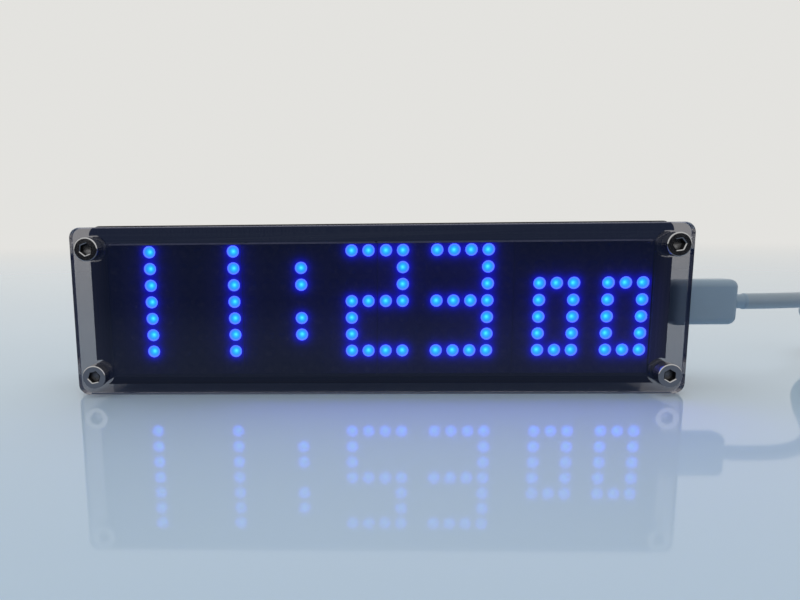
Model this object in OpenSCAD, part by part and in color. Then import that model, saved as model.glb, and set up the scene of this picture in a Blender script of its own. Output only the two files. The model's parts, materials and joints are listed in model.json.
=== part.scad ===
// Dot matrix clock: four square LED modules in a black housing that is clamped between two
// smoked panels by corner standoffs and cap screws, with its power cable plugged in at the side.
// Millimetres. +X runs to the right along the face, +Y away from the viewer, +Z up.
// The origin is on the table, under the middle of the clock.

/* [Display] */
// Distance between neighbouring dots
dot_pitch = 4; // [3.8:0.05:4.4]
// Diameter of one dot
dot_d = 3; // [2:0.1:3.4]
// Depth of the recess that holds a dot
dot_depth = 1.2; // [0.6:0.1:2]
// Gap round a dot in its recess
dot_clear = 0.02; // [0.01:0.01:0.1]
// How far a dot lies below the face of its module
dot_sink = 0.05; // [0:0.01:0.3]
// Thickness of one module without its pins
module_t = 8; // [6:0.1:9]
// How much narrower a module is than its eight pitches
module_trim = 0.1; // [0:0.05:0.4]
// Gap between neighbouring modules
module_gap = 0.2; // [0.1:0.05:0.6]
// Gap between the front panel and the faces of the modules
face_gap = 0.9; // [0.3:0.1:2]
// Pins in one row of a module
row_pins = 8; // [4:1:9]
// Spacing of the pins along a row
pin_pitch = 2.54; // [1.8:0.02:2.6]
// Distance between the two pin rows of a module
pin_row_gap = 24; // [22:0.5:26]
// Diameter of a pin
pin_d = 0.5; // [0.4:0.05:0.7]
// Length of a pin behind the board
pin_tail = 1.4; // [1:0.1:2.5]
// Diameter of the solder cone at the foot of a pin tail
solder_d = 1.7; // [1.2:0.1:1.9]
// Height of the solder cone
solder_h = 0.9; // [0.5:0.1:1]

/* [Housing] */
// Gap round the block of modules in the window
window_clear = 0.2; // [0.1:0.05:0.5]
// Housing beside the window
frame_side = 3.7; // [3.4:0.1:6]
// Housing above the window
frame_top = 4.1; // [3.8:0.1:6]
// Housing under the window
frame_bottom = 1.7; // [1.6:0.1:4]
// Radius of the housing's outer corners
housing_corner_r = 2.2; // [0.5:0.1:3]
// Side walls round the electronics
wall_side = 2; // [1.2:0.1:3]
// Top wall over the electronics
wall_top = 1.6; // [1.2:0.1:3]
// Bottom wall under the electronics
wall_bottom = 1.2; // [1:0.1:1.5]
// Wall that wraps round each standoff behind the board
sleeve_wall = 1.2; // [0.8:0.1:1.6]
// Gap between a standoff's corners and the housing
standoff_clear = 0.3; // [0.2:0.05:0.6]
// Width of one snap nose that holds the board
nose_w = 6; // [3:0.5:10]
// How far a snap nose reaches over the board's edge
nose_reach = 0.6; // [0.3:0.1:0.9]
// Depth of a snap nose from front to back
nose_l = 1.6; // [1:0.1:3]

/* [Panels and fasteners] */
// Thickness of each smoked panel
panel_t = 3; // [2:0.1:5]
// Panel beside the housing
panel_side = 4; // [3:0.1:8]
// Height of the housing over the table
foot_h = 2.2; // [1:0.1:6]
// How far the housing's top stands over the panels' top edges
panel_drop = 0.3; // [0:0.1:1]
// Corner radius of the panels
panel_corner_r = 2.5; // [1:0.1:4]
// Screw axis to the panel's side edge
inset_x = 5; // [4.6:0.1:5.2]
// Screw axis to the panel's top or bottom edge
inset_z = 5; // [4.6:0.1:6]
// Nominal diameter of the screws
screw_d = 3; // [2.5:0.1:3.2]
// Length of a screw under its head
screw_l = 8; // [6:0.5:10]
// Diameter of a screw's head
head_d = 5.5; // [4.5:0.1:6]
// Height of a screw's head
head_h = 3; // [2:0.1:3.5]
// Width across flats of the hex socket
socket_af = 2.5; // [2:0.1:3]
// Depth of the hex socket
socket_depth = 1.6; // [1:0.1:2]
// Chamfer at a screw head's edge
head_chamfer = 0.35; // [0.1:0.05:0.6]
// Gap between a screw and a panel's hole
hole_clear = 0.15; // [0.1:0.05:0.4]
// Gap between a screw and the bore of a standoff
bore_clear = 0.05; // [0.02:0.01:0.1]
// Length of a standoff, which sets the housing's depth
standoff_l = 20; // [18:0.5:26]
// Width across flats of a standoff
standoff_af = 5; // [4.5:0.1:5.2]

/* [Circuit board] */
// Thickness of the board
board_t = 1.6; // [1.2:0.1:2]
// Gap between the board's edge and the housing's walls
board_clear = 0.3; // [0.15:0.05:0.5]
// Gap between a pin and its hole in the board
pin_hole_clear = 0.15; // [0.05:0.05:0.3]
// Length of a driver chip's body
driver_l = 15.4; // [12:0.1:17]
// Width of a driver chip's body
driver_w = 7.5; // [5:0.1:8]
// Height of a driver chip over the board
driver_h = 2.4; // [1.5:0.1:3]
// Outward shift of each driver chip from the middle of its module
driver_shift = 2.5; // [1.5:0.1:3.5]
// Side of the microcontroller's body
controller_w = 7; // [5:0.1:8]
// Height of the microcontroller over the board
controller_h = 1.6; // [1:0.1:2]
// Length of the timekeeping chip's body
timer_l = 4.9; // [4:0.1:6]
// Width of the timekeeping chip's body
timer_w = 3.9; // [3:0.1:4.2]
// Height of the timekeeping chip over the board
timer_h = 1.7; // [1:0.1:2]
// Diameter of the crystal's can
crystal_d = 2; // [1.5:0.1:2.4]
// Length of the crystal's can
crystal_l = 6; // [4:0.1:7]
// Diameter of the back-up cell
cell_d = 16; // [12:0.1:20]
// Thickness of the back-up cell
cell_t = 3.2; // [1.6:0.1:4]
// Wall of the cell holder
holder_wall = 1; // [0.8:0.1:1.2]
// Floor of the cell holder
holder_floor = 0.8; // [0.5:0.1:1.5]
// Gap round the cell in its holder
cell_clear = 0.15; // [0.1:0.05:0.3]
// Diameter of the buzzer
buzzer_d = 12; // [9:0.1:13]
// Gap between the buzzer and the rear panel
buzzer_gap = 1.5; // [0.8:0.1:3]
// Diameter of the sound hole in the buzzer and the rear panel
sound_d = 2.5; // [1.5:0.1:4]
// Diameter of a capacitor's can
can_d = 6.3; // [4:0.1:6.8]
// Height of a capacitor over the board
can_h = 5.8; // [4:0.1:8]
// Length of a chip resistor
chip_l = 2; // [1.6:0.1:2.4]
// Width of a chip resistor
chip_w = 1.25; // [0.8:0.05:1.5]
// Height of a chip resistor
chip_h = 0.6; // [0.4:0.05:0.9]
// Least gap between neighbouring parts on the board
part_gap = 0.5; // [0.3:0.05:0.8]

/* [Buttons] */
// Side of a switch base
switch_w = 6; // [5:0.1:6.2]
// Height of a switch base
switch_h = 3.5; // [2.5:0.1:5]
// Distance between neighbouring buttons
button_pitch = 7.5; // [6.8:0.1:8]
// Diameter of a button's plunger
plunger_d = 3.5; // [2.5:0.1:4]
// How far a plunger stands out of the rear panel
button_proud = 1; // [0.6:0.1:2.5]
// Travel of a button
button_travel = 0.25; // [0.15:0.05:0.5]
// Gap under a plunger at the end of its travel
travel_spare = 0.15; // [0.05:0.05:0.4]
// Depth of the well that guides a plunger in its base
well_depth = 1.4; // [1.2:0.1:2]
// Gap round a plunger in its well
well_clear = 0.1; // [0.05:0.01:0.2]
// Gap round a plunger in the rear panel
button_hole_clear = 0.4; // [0.2:0.05:0.8]

/* [Power socket and plug] */
// Length of the socket's shell
socket_l = 7.3; // [6.5:0.1:9]
// How far the socket's mouth stands out past the panels' edges
mouth_proud = 0.8; // [0:0.1:1.2]
// How far the board's tab stops short of the mouth
tab_short = 1; // [0.5:0.1:2]
// Width of the plug's metal shell
plug_w = 8.25; // [8:0.05:8.5]
// Thickness of the plug's metal shell
plug_t = 2.4; // [2.2:0.05:2.6]
// Gap round the plug in the socket
plug_clear = 0.08; // [0.05:0.01:0.15]
// Sheet thickness of the socket's shell
shell_wall = 0.3; // [0.2:0.05:0.4]
// Thickness of the block at the back of the socket
back_block = 1.3; // [0.8:0.1:2]
// Width of the socket's contact tongue
tongue_w = 6.7; // [6:0.1:6.9]
// Thickness of the socket's contact tongue
tongue_t = 0.7; // [0.5:0.05:0.8]
// Gap round the tongue in the plug
tongue_clear = 0.12; // [0.08:0.01:0.2]
// How far the tongue stops short of the mouth
tongue_short = 1.2; // [0.8:0.1:2]
// Gap between the socket's mouth and the grip of the plug
grip_gap = 0.8; // [0.3:0.1:2]
// Length of the plug's grip
grip_l = 16.8; // [12:0.1:20]
// Width of the plug's grip
grip_w = 11.4; // [10:0.1:13]
// Thickness of the plug's grip
grip_t = 6.4; // [5:0.1:7]
// Radius of the grip's edges
grip_r = 1.9; // [0.8:0.1:2.4]
// Length of the neck behind the grip
neck_l = 3; // [2:0.1:6]
// Diameter of the neck behind the grip
neck_d = 3.6; // [3:0.1:4]

/* [Cable] */
// Diameter of the cable
cable_d = 4; // [3.5:0.1:4.2]
// Sides of the straight cable
cable_sides = 10; // [8:1:12]
// Sides of the coiled cable
coil_sides = 6; // [6:1:8]
// Turns in each of the coil's two layers
layer_turns = 2.8125; // [1.8125:0.5:3.3125]
// Radius of the innermost turn, before it dips to reverse
coil_inner_r = 16.6; // [16:0.1:18]
// Gap between neighbouring turns
turn_gap = 0.6; // [0.5:0.05:0.8]
// Gap between the two layers
layer_gap = 0.5; // [0.45:0.05:0.8]
// Thickness of the tie round the coil
tie_t = 0.9; // [0.6:0.1:1.2]
// Width of the tie along the coil
tie_w = 10; // [6:0.5:12]
// Gap between the tie and the coil
tie_clear = 0.3; // [0.2:0.05:0.5]
// Length of the far plug's grip
far_grip_l = 26; // [20:0.5:34]
// Width of the far plug's grip
far_grip_w = 15.4; // [14:0.1:17]
// Thickness of the far plug's grip
far_grip_t = 7.6; // [6.5:0.1:9]
// Length of the far plug's tapered sleeve
far_sleeve_l = 7; // [4:0.5:12]
// Length of the far plug's metal shell
far_shell_l = 18.75; // [12:0.25:20]
// Width of the far plug's metal shell
far_shell_w = 12; // [11.8:0.05:12.2]
// Thickness of the far plug's metal shell
far_shell_t = 4.5; // [4.3:0.05:4.7]
// Sheet thickness of the far plug's metal shell
far_shell_wall = 0.3; // [0.2:0.05:0.4]
// Thickness of the plastic block inside the far plug
far_insert_t = 1.9; // [1.5:0.05:2.2]

/* [Hidden] */
$fn = 48;
// Room that a cutting shape gets past the face it cuts
past = 1;

// The face of the display, one character a dot, top row first: # is lit
face = [
    "..#....#......####.####.........",
    "..#....#...#.....#....#.........",
    "..#....#...#.....#....#..###.###",
    "..#....#......####.####..#.#.#.#",
    "..#....#...#..#.......#..#.#.#.#",
    "..#....#...#..#.......#..#.#.#.#",
    "..#....#......####.####..###.###",
    "................................"];
side_dots = 8;
module_count = 4;

// The display block and the housing round it
module_w = side_dots * dot_pitch - module_trim;
module_step = module_w + module_gap;
display_w = module_count * module_w + (module_count - 1) * module_gap;
window_w = display_w + 2 * window_clear;
window_h = module_w + 2 * window_clear;
housing_w = window_w + 2 * frame_side;
housing_h = frame_bottom + window_h + frame_top;
housing_z0 = foot_h;
housing_z1 = housing_z0 + housing_h;
window_z0 = housing_z0 + frame_bottom;
display_z = window_z0 + window_h / 2;

// The panels, and the depth of everything between them
panel_w = housing_w + 2 * panel_side;
panel_h = housing_z1 - panel_drop;
housing_y0 = -standoff_l / 2;
housing_y1 = standoff_l / 2;
panel_y = housing_y1 + panel_t;
face_y = housing_y0 + face_gap;
board_y0 = face_y + module_t;
board_y1 = board_y0 + board_t;

// The four screw axes
axis_x = panel_w / 2 - inset_x;
axes = [for (x = [-axis_x, axis_x], z = [inset_z, panel_h - inset_z]) [x, z]];
standoff_r = standoff_af / 2 / cos(30);
notch_r = standoff_r + standoff_clear;
sleeve_r = notch_r + sleeve_wall;

// The space for the electronics, and the board in it
bay_w = housing_w - 2 * wall_side;
bay_z0 = housing_z0 + wall_bottom;
bay_z1 = housing_z1 - wall_top;
board_w = bay_w - 2 * board_clear;
board_z0 = bay_z0 + board_clear;
board_z1 = bay_z1 - board_clear;
nose_x = module_step * 1.5;

// The places of the parts on the board
driver_gap_x = module_step + driver_shift;
buzzer_h = housing_y1 - board_y1 - buzzer_gap;
pin_near_x = module_step / 2 - (row_pins - 1) / 2 * pin_pitch;
bowl_r = cell_d / 2 + cell_clear;
holder_r = bowl_r + holder_wall;
pin_room = holder_r + solder_d / 2 + part_gap;
cell_z = display_z - pin_row_gap / 2 + sqrt(max(0, pin_room * pin_room - pin_near_x * pin_near_x));
timer_reach = 1.05;
timer_z = cell_z + holder_r + part_gap + timer_w / 2 + timer_reach;
margin_x = 1.4;
button_x = -board_w / 2 + margin_x + switch_w / 2;
can_x = board_w / 2 - margin_x - can_d / 2;
can_z_step = 8;
can_base_h = 1.2;
lead_t = 0.2;
regulator_l = 6.5;
regulator_w = 3.5;
regulator_h = 1.7;
regulator_reach = 1.6;
resistor_rows = [-1, 1];
resistor_drop = 2.6;

// The power socket and the plug in it
plug_y = board_y1 + plug_t / 2 + plug_clear + shell_wall;
plug_z = display_z;
mouth_x = panel_w / 2 + mouth_proud;
socket_x = mouth_x - socket_l;
tongue_x = mouth_x - tongue_short;
tip_gap = 0.2;
tip_x = socket_x + back_block + tip_gap;
grip_x = mouth_x + grip_gap;
neck_x = grip_x + grip_l;
cable_x = neck_x + neck_l;
slot_clear = 0.4;

// The coil: a clockwise spiral in, a half turn that climbs, and a spiral out above it
turn_pitch = cable_d + turn_gap;
layer_rise = cable_d + layer_gap;
climb_turns = 0.5;
early_turns = 0.25;
coil_turns = 2 * layer_turns + climb_turns - early_turns;
coil_outer_r = coil_inner_r + turn_pitch * layer_turns;
coil_at = [165, 15];
coil_z = tie_t + tie_clear + cable_d / 2;
loop_rings = 24;
coil_steps = ceil(loop_rings * coil_turns);
coil_start_angle = 90;
tie_angle = 160;

function unit(v) = v / norm(v);
function smooth(u) = u * u * (3 - 2 * u);
function climb(turn) = min(1, max(0, (turn - layer_turns) / climb_turns));
function coil_r(turn) = let (u = climb(turn))
    u <= 0 ? coil_inner_r + turn_pitch * (layer_turns - turn)
    : u >= 1 ? coil_inner_r + turn_pitch * (turn - layer_turns - climb_turns)
    : coil_inner_r - turn_pitch / 2 * u * (1 - u);
function coil_angle(turn) = coil_start_angle - 360 * turn;
function coil_point(turn) = [
    coil_at[0] + coil_r(turn) * cos(coil_angle(turn)),
    coil_at[1] + coil_r(turn) * sin(coil_angle(turn)),
    coil_z + layer_rise * smooth(climb(turn))];
// The way the cable runs at a turn of the coil
function coil_way(turn) = [sin(coil_angle(turn)), -cos(coil_angle(turn)), 0];

// The coil's points, with a straight end one diameter long at each side
coil_in = coil_point(0) - cable_d * coil_way(0);
coil_out = coil_point(coil_turns) + cable_d * coil_way(coil_turns);
coil_path = concat([coil_in],
    [for (i = [0:coil_steps]) coil_point(coil_turns * i / coil_steps)],
    [coil_out]);

// The route of the cable from the plug's neck, through the air and down to the coil
lead_path = concat([[cable_x, plug_y, plug_z]],
    [[100, 2.2, 20.1], [108, 3.6, 20.1], [115.5, 7.8, 19.8], [121.5, 13.8, 19.2], [126, 21, 18.2],
     [130, 30, 15.6], [135.5, 38.3, 12], [142.3, 41.8, 8.8], [149.2, 43.9, 5.8], [155.5, 44.5, 3.9]],
    [coil_in]);

function path_l(p) = len(p) < 2 ? 0 : sum_steps(p, len(p) - 1);
function sum_steps(p, i) = i == 0 ? 0 : norm(p[i] - p[i - 1]) + sum_steps(p, i - 1);
function off_segment(q, a, b) = let (w = b - a, t = min(1, max(0, (q - a) * w / (w * w))))
    norm(q - a - t * w);
// Least gap of a coiled tube to its own other turns
function self_gap(p, d, apart) = min([for (i = [0:len(p) - 1], j = [0:len(p) - 2])
    if (abs(i - j) > apart && abs(i - j - 1) > apart) off_segment(p[i], p[j], p[j + 1])]) - d;

// The tail: it ends the last turn as it rises, then curls in over the coil to the far plug on top
curl_r = 18;
curl_sweep = 120;
curl_rings = 8;
tail_straight = 5;
rest_gap = 0.05;
tail_turns = coil_turns + early_turns;
curl_from = coil_angle(tail_turns);
curl_off = coil_r(tail_turns) - curl_r;
tail_way = [sin(curl_from - curl_sweep), -cos(curl_from - curl_sweep), 0];
coil_top = coil_z + layer_rise + cable_d / 2;
far_z = coil_top + rest_gap + far_grip_t / 2;
function curl_point(a) = [
    coil_at[0] + curl_off * cos(curl_from) + curl_r * cos(curl_from - a),
    coil_at[1] + curl_off * sin(curl_from) + curl_r * sin(curl_from - a),
    coil_out[2]];
early_rings = round(loop_rings * early_turns);
tail_plan = concat([coil_out],
    [for (i = [1:early_rings])
        let (p = coil_point(coil_turns + early_turns * i / early_rings)) [p[0], p[1], coil_out[2]]],
    [for (i = [1:curl_rings]) curl_point(curl_sweep * i / curl_rings)],
    [curl_point(curl_sweep) + tail_straight * tail_way]);
rise_l = path_l(tail_plan) - tail_straight;
tail_path = [for (i = [0:len(tail_plan) - 1])
    let (run = sum_steps(tail_plan, i))
    [tail_plan[i][0], tail_plan[i][1],
        coil_out[2] + (far_z - coil_out[2]) * smooth(min(1, run / rise_l))]];
tail_end = tail_path[len(tail_path) - 1];

// The gaps that keep the cable clear of itself, and its length
echo(tail_gap = min([for (p = tail_path, i = [0:len(coil_path) - loop_rings / 2])
    norm(p - coil_path[i])]) - cable_d);
echo(coil_gap = self_gap(coil_path, cable_d, loop_rings / 2));
echo(cable_length = path_l(lead_path) + path_l(coil_path) + path_l(tail_path));

// The middle of a module, counted from the left
function module_x(i) = (i - (module_count - 1) / 2) * module_step;
// The middle of a driver chip, moved outwards from its module's middle
function driver_x(i) = module_x(i) + sign(module_x(i)) * driver_shift;
// The middle of a dot, by its column and row on the whole face
function dot_x(column) = module_x(floor(column / side_dots))
    + (column % side_dots - (side_dots - 1) / 2) * dot_pitch;
function dot_z(row) = display_z + ((side_dots - 1) / 2 - row) * dot_pitch;
// The places of all module pins, in X and Z
pin_places = [for (i = [0:module_count - 1], k = [0:row_pins - 1], s = [-1, 1])
    [module_x(i) + (k - (row_pins - 1) / 2) * pin_pitch, display_z + s * pin_row_gap / 2]];
buzzer_x = (driver_x(2) + driver_x(3)) / 2;
controller_x = (driver_x(0) + driver_x(1)) / 2;

// A flat outline in X and Z, made solid from y0 back to y1
module slab(y0, y1) {
    translate([0, y1, 0]) rotate([90, 0, 0]) linear_extrude(y1 - y0) children();
}
// A flat outline in Y and Z, made solid from x0 to x1
module bar(x0, x1) {
    translate([x0, 0, 0]) rotate([90, 0, 90]) linear_extrude(x1 - x0) children();
}
// A rectangle with round corners, centred
module round_rect(w, h, r) {
    square([w - 2 * r, h], center = true);
    square([w, h - 2 * r], center = true);
    for (x = [-1, 1], y = [-1, 1]) translate([x * (w / 2 - r), y * (h / 2 - r)]) circle(r);
}
// A slot outline with round ends, w along Z and t along Y
module slot_outline(t, w) {
    square([t, w - t], center = true);
    for (s = [-1, 1]) translate([0, s * (w - t) / 2]) circle(t / 2);
}
module at_axes() {
    for (a = axes) translate([a[0], a[1]]) children();
}
module housing_outline() {
    translate([0, (housing_z0 + housing_z1) / 2]) round_rect(housing_w, housing_h, housing_corner_r);
}
module panel_outline() {
    difference() {
        translate([0, panel_h / 2]) round_rect(panel_w, panel_h, panel_corner_r);
        at_axes() circle(screw_d / 2 + hole_clear);
    }
}
// One bent lead of a flat chip package, in the plane of its bend
module bent_lead(reach, rise) {
    polygon([[-reach / 4, rise], [reach / 3, rise], [reach / 2, lead_t], [reach, lead_t],
        [reach, 0], [reach / 2 - lead_t, 0], [reach / 3 - lead_t, rise - lead_t],
        [-reach / 4, rise - lead_t]]);
}
// A row of bent leads along X, at the edge of a body that is w wide across Z
module lead_row(w, h, reach, count, pitch, lead_w) {
    for (i = [0:count - 1])
        translate([(i - (count - 1) / 2) * pitch - lead_w / 2, 0, w / 2])
            rotate([90, 0, 90]) linear_extrude(lead_w)
                mirror([1, -1]) bent_lead(reach, h / 2);
}
// A flat chip package on the board, its leads on the two sides across Z
module two_row_chip(l, w, h, reach, count, pitch, lead_w) {
    stand = 0.1;
    translate([-l / 2, stand, -w / 2]) cube([l, h - stand, w]);
    for (m = [0, 1]) mirror([0, 0, m]) lead_row(w, h, reach, count, pitch, lead_w);
}
// A cap screw: its head over z = 0, its shank below
module cap_screw() {
    difference() {
        rotate_extrude() polygon([[0, head_h], [head_d / 2 - head_chamfer, head_h],
            [head_d / 2, head_h - head_chamfer], [head_d / 2, 0], [screw_d / 2, 0],
            [screw_d / 2, -screw_l + head_chamfer], [screw_d / 2 - head_chamfer, -screw_l],
            [0, -screw_l]]);
        translate([0, 0, head_h - socket_depth]) rotate(30)
            cylinder(r = socket_af / 2 / cos(30), h = socket_depth + past, $fn = 6);
    }
}
module dots(lit) {
    for (row = [0:side_dots - 1], column = [0:side_dots * module_count - 1])
        if ((face[row][column] == "#") == lit)
            slab(face_y + dot_sink, face_y + dot_depth)
                translate([dot_x(column), dot_z(row)]) circle(dot_d / 2 - dot_clear);
}
module led_matrix(i) {
    color([0.06, 0.06, 0.07])
        difference() {
            slab(face_y, board_y0) translate([module_x(i), display_z]) square(module_w, center = true);
            for (row = [0:side_dots - 1], column = [i * side_dots:(i + 1) * side_dots - 1])
                slab(face_y - past, face_y + dot_depth)
                    translate([dot_x(column), dot_z(row)]) circle(dot_d / 2);
        }
}
// One tube along a path, whose end faces are square to the ways first and last
module tube(path, first, last, d, sides) {
    n = len(path);
    rings = [for (i = [0:n - 1]) let (
        way = i == 0 ? first : i == n - 1 ? last : unit(path[i + 1] - path[i - 1]),
        across = unit(cross([0, 0, 1], way)),
        up = cross(way, across))
        [for (k = [0:sides - 1])
            path[i] + d / 2 * (cos(360 * k / sides) * across + sin(360 * k / sides) * up)]];
    function at(i, k) = i * sides + k % sides;
    walls = [for (i = [0:n - 2], k = [0:sides - 1])
        each [[at(i, k), at(i + 1, k), at(i + 1, k + 1)], [at(i, k), at(i + 1, k + 1), at(i, k + 1)]]];
    ends = [for (k = [1:sides - 2])
        each [[at(0, 0), at(0, k), at(0, k + 1)], [at(n - 1, 0), at(n - 1, k + 1), at(n - 1, k)]]];
    polyhedron(points = [for (r = rings) each r], faces = concat(walls, ends));
}
// A block with round edges along X
module soft_block(l, t, w, r) {
    hull() for (x = [r, l - r], y = [-1, 1], z = [-1, 1])
        translate([x, y * (t / 2 - r), z * (w / 2 - r)]) rotate([0, 90, 0]) sphere(r, $fn = 32);
}
module at_plug() {
    translate([0, plug_y, plug_z]) children();
}
module at_far_plug() {
    translate(tail_end) rotate(curl_from - curl_sweep - 90) children();
}

module front_panel() {
    color([0.16, 0.17, 0.2, 0.6]) slab(-panel_y, housing_y0) panel_outline();
}
module rear_panel() {
    color([0.16, 0.17, 0.2, 0.6])
        slab(housing_y1, panel_y) difference() {
            panel_outline();
            for (i = [-1:1]) translate([button_x, display_z + i * button_pitch])
                circle(plunger_d / 2 + button_hole_clear);
            translate([buzzer_x, display_z]) circle(sound_d / 2);
        }
}
module front_screws() {
    color("silver") for (a = axes) translate([a[0], -panel_y, a[1]]) rotate([90, 0, 0]) cap_screw();
}
module rear_screws() {
    color("silver") for (a = axes) translate([a[0], panel_y, a[1]]) rotate([-90, 0, 0]) cap_screw();
}
module standoffs() {
    color("gainsboro")
        for (a = axes) slab(housing_y0, housing_y1) translate(a) difference() {
            rotate(90) circle(standoff_r, $fn = 6);
            circle(screw_d / 2 + bore_clear);
        }
}
// A snap nose that leans over the board's edge, its root at the wall z, pointing to way
module snap_nose(x, z, way) {
    root = 0.4;
    reach = board_clear + nose_reach;
    bar(x - nose_w / 2, x + nose_w / 2)
        polygon([[board_y1, z - way * root], [board_y1, z + way * reach],
            [board_y1 + nose_l / 3, z + way * reach], [board_y1 + nose_l, z - way * root]]);
}
module housing() {
    color([0.05, 0.05, 0.055]) difference() {
        union() {
            difference() {
                slab(housing_y0, housing_y1) housing_outline();
                slab(housing_y0 - past, board_y0 + past) translate([0, display_z])
                    square([window_w, window_h], center = true);
                slab(board_y0, housing_y1 + past) translate([-bay_w / 2, bay_z0])
                    square([bay_w, bay_z1 - bay_z0]);
            }
            intersection() {
                slab(board_y0, housing_y1) at_axes() circle(sleeve_r);
                slab(board_y0, housing_y1) housing_outline();
            }
            for (s = [-1, 1]) {
                snap_nose(s * nose_x, bay_z1, -1);
                snap_nose(s * nose_x, bay_z0, 1);
            }
        }
        slab(housing_y0 - past, housing_y1 + past) at_axes() circle(notch_r);
        translate([bay_w / 2 - past, board_y0, plug_z - plug_w / 2 - shell_wall - slot_clear])
            cube([wall_side + 2 * past, housing_y1 - board_y0 + past,
                plug_w + 2 * (shell_wall + slot_clear)]);
    }
}
module led_matrix_1() { led_matrix(0); }
module led_matrix_2() { led_matrix(1); }
module led_matrix_3() { led_matrix(2); }
module led_matrix_4() { led_matrix(3); }
module lit_dots() { color([0.1, 0.45, 1]) dots(true); }
module unlit_dots() { color([0.2, 0.2, 0.24]) dots(false); }
// Each pin with the solder cone at its foot
module matrix_pins() {
    color("lightgray") for (p = pin_places) translate([p[0], board_y0, p[1]])
        rotate([-90, 0, 0]) rotate_extrude() polygon([[0, 0], [pin_d / 2, 0],
            [pin_d / 2, board_t], [solder_d / 2, board_t],
            [pin_d / 2, board_t + solder_h], [pin_d / 2, board_t + pin_tail],
            [0, board_t + pin_tail]]);
}
module circuit_board() {
    tab_w = plug_w + 2 * shell_wall;
    color([0.05, 0.2, 0.12]) slab(board_y0, board_y1) difference() {
        union() {
            translate([-board_w / 2, board_z0]) square([board_w, board_z1 - board_z0]);
            translate([0, plug_z - tab_w / 2]) square([mouth_x - tab_short, tab_w]);
        }
        at_axes() circle(sleeve_r + board_clear);
        for (p = pin_places) translate(p) circle(pin_d / 2 + pin_hole_clear);
    }
}
module driver_chips() {
    rows = 12;
    lead_pitch = 1.27;
    lead_w = 0.42;
    reach = 1.4;
    color([0.1, 0.1, 0.1]) for (i = [0:module_count - 1])
        translate([driver_x(i), board_y1, display_z]) rotate([0, 90, 0])
            two_row_chip(driver_l, driver_w, driver_h, reach, rows, lead_pitch, lead_w);
}
module microcontroller() {
    stand = 0.1;
    rows = 8;
    lead_pitch = 0.8;
    lead_w = 0.35;
    reach = 1;
    color([0.1, 0.1, 0.1]) translate([controller_x, board_y1, display_z]) {
        translate([-controller_w / 2, stand, -controller_w / 2])
            cube([controller_w, controller_h - stand, controller_w]);
        for (q = [0:3]) rotate([0, 90 * q, 0])
            lead_row(controller_w, controller_h, reach, rows, lead_pitch, lead_w);
    }
}
module clock_chip() {
    rows = 4;
    lead_pitch = 1.27;
    lead_w = 0.42;
    color([0.1, 0.1, 0.1]) translate([0, board_y1, timer_z])
        two_row_chip(timer_l, timer_w, timer_h, timer_reach, rows, lead_pitch, lead_w);
}
module crystal() {
    wire_d = 0.3;
    wire_l = 2;
    x = -timer_l / 2 - part_gap - crystal_d / 2;
    color("silver")
        translate([x, board_y1 + crystal_d / 2, timer_z - crystal_l / 2]) {
            cylinder(d = crystal_d, h = crystal_l);
            for (s = [-1, 1]) translate([s * crystal_d / 4, 0, crystal_l - wire_d])
                cylinder(d = wire_d, h = wire_l);
        }
}
module cell_holder() {
    notch_w = 7;
    color([0.12, 0.12, 0.13]) translate([0, board_y1, cell_z]) rotate([-90, 0, 0]) difference() {
        cylinder(r = holder_r, h = holder_floor + cell_t);
        translate([0, 0, holder_floor]) cylinder(r = bowl_r, h = cell_t + past);
        translate([-notch_w / 2, -holder_r - past, holder_floor])
            cube([notch_w, bowl_r, cell_t + past]);
    }
}
module coin_cell() {
    edge = 0.3;
    cap_share = 0.88;
    cap_r = cap_share * cell_d / 2;
    color("silver") translate([0, board_y1 + holder_floor, cell_z]) rotate([-90, 0, 0])
        rotate_extrude() polygon([[0, 0], [cap_r, 0], [cap_r, edge], [cell_d / 2, 2 * edge],
            [cell_d / 2, cell_t - edge], [cell_d / 2 - edge, cell_t], [0, cell_t]]);
}
module buzzer() {
    lip = 0.4;
    well = 3;
    color([0.08, 0.08, 0.08]) translate([buzzer_x, board_y1, display_z]) rotate([-90, 0, 0])
        rotate_extrude() polygon([[0, 0], [buzzer_d / 2 - lip, 0], [buzzer_d / 2 - lip, lip],
            [buzzer_d / 2, 2 * lip], [buzzer_d / 2, buzzer_h - lip],
            [buzzer_d / 2 - lip, buzzer_h], [sound_d / 2, buzzer_h],
            [sound_d / 2, buzzer_h - well], [0, buzzer_h - well]]);
}
module capacitors() {
    groove = 0.35;
    foot = 1;
    corner = 1.2;
    base_over = 0.3;
    base_w = can_d + base_over;
    can_l = can_h - can_base_h;
    color("silver") for (s = [-1, 1]) translate([can_x, board_y1, display_z + s * can_z_step])
        rotate([-90, 0, 0]) {
            linear_extrude(can_base_h) polygon([[-base_w / 2, -base_w / 2], [base_w / 2, -base_w / 2],
                [base_w / 2, base_w / 2 - corner], [base_w / 2 - corner, base_w / 2],
                [-base_w / 2 + corner, base_w / 2], [-base_w / 2, base_w / 2 - corner]]);
            translate([0, 0, can_base_h]) rotate_extrude() polygon([[0, -groove],
                [can_d / 2 - groove, -groove], [can_d / 2 - groove, 0], [can_d / 2, 0],
                [can_d / 2, foot - groove], [can_d / 2 - groove, foot], [can_d / 2, foot + groove],
                [can_d / 2, can_l - groove], [can_d / 2 - groove, can_l], [0, can_l]]);
        }
}
module chip_resistors() {
    color([0.15, 0.14, 0.14])
        for (i = [0:module_count - 1], s = resistor_rows, k = [-1, 1])
            translate([module_x(i) + k * chip_l - chip_l / 2, board_y1,
                display_z + s * (pin_row_gap / 2 - resistor_drop) - chip_w / 2])
                cube([chip_l - 2 * lead_t, chip_h, chip_w]);
}
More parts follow.
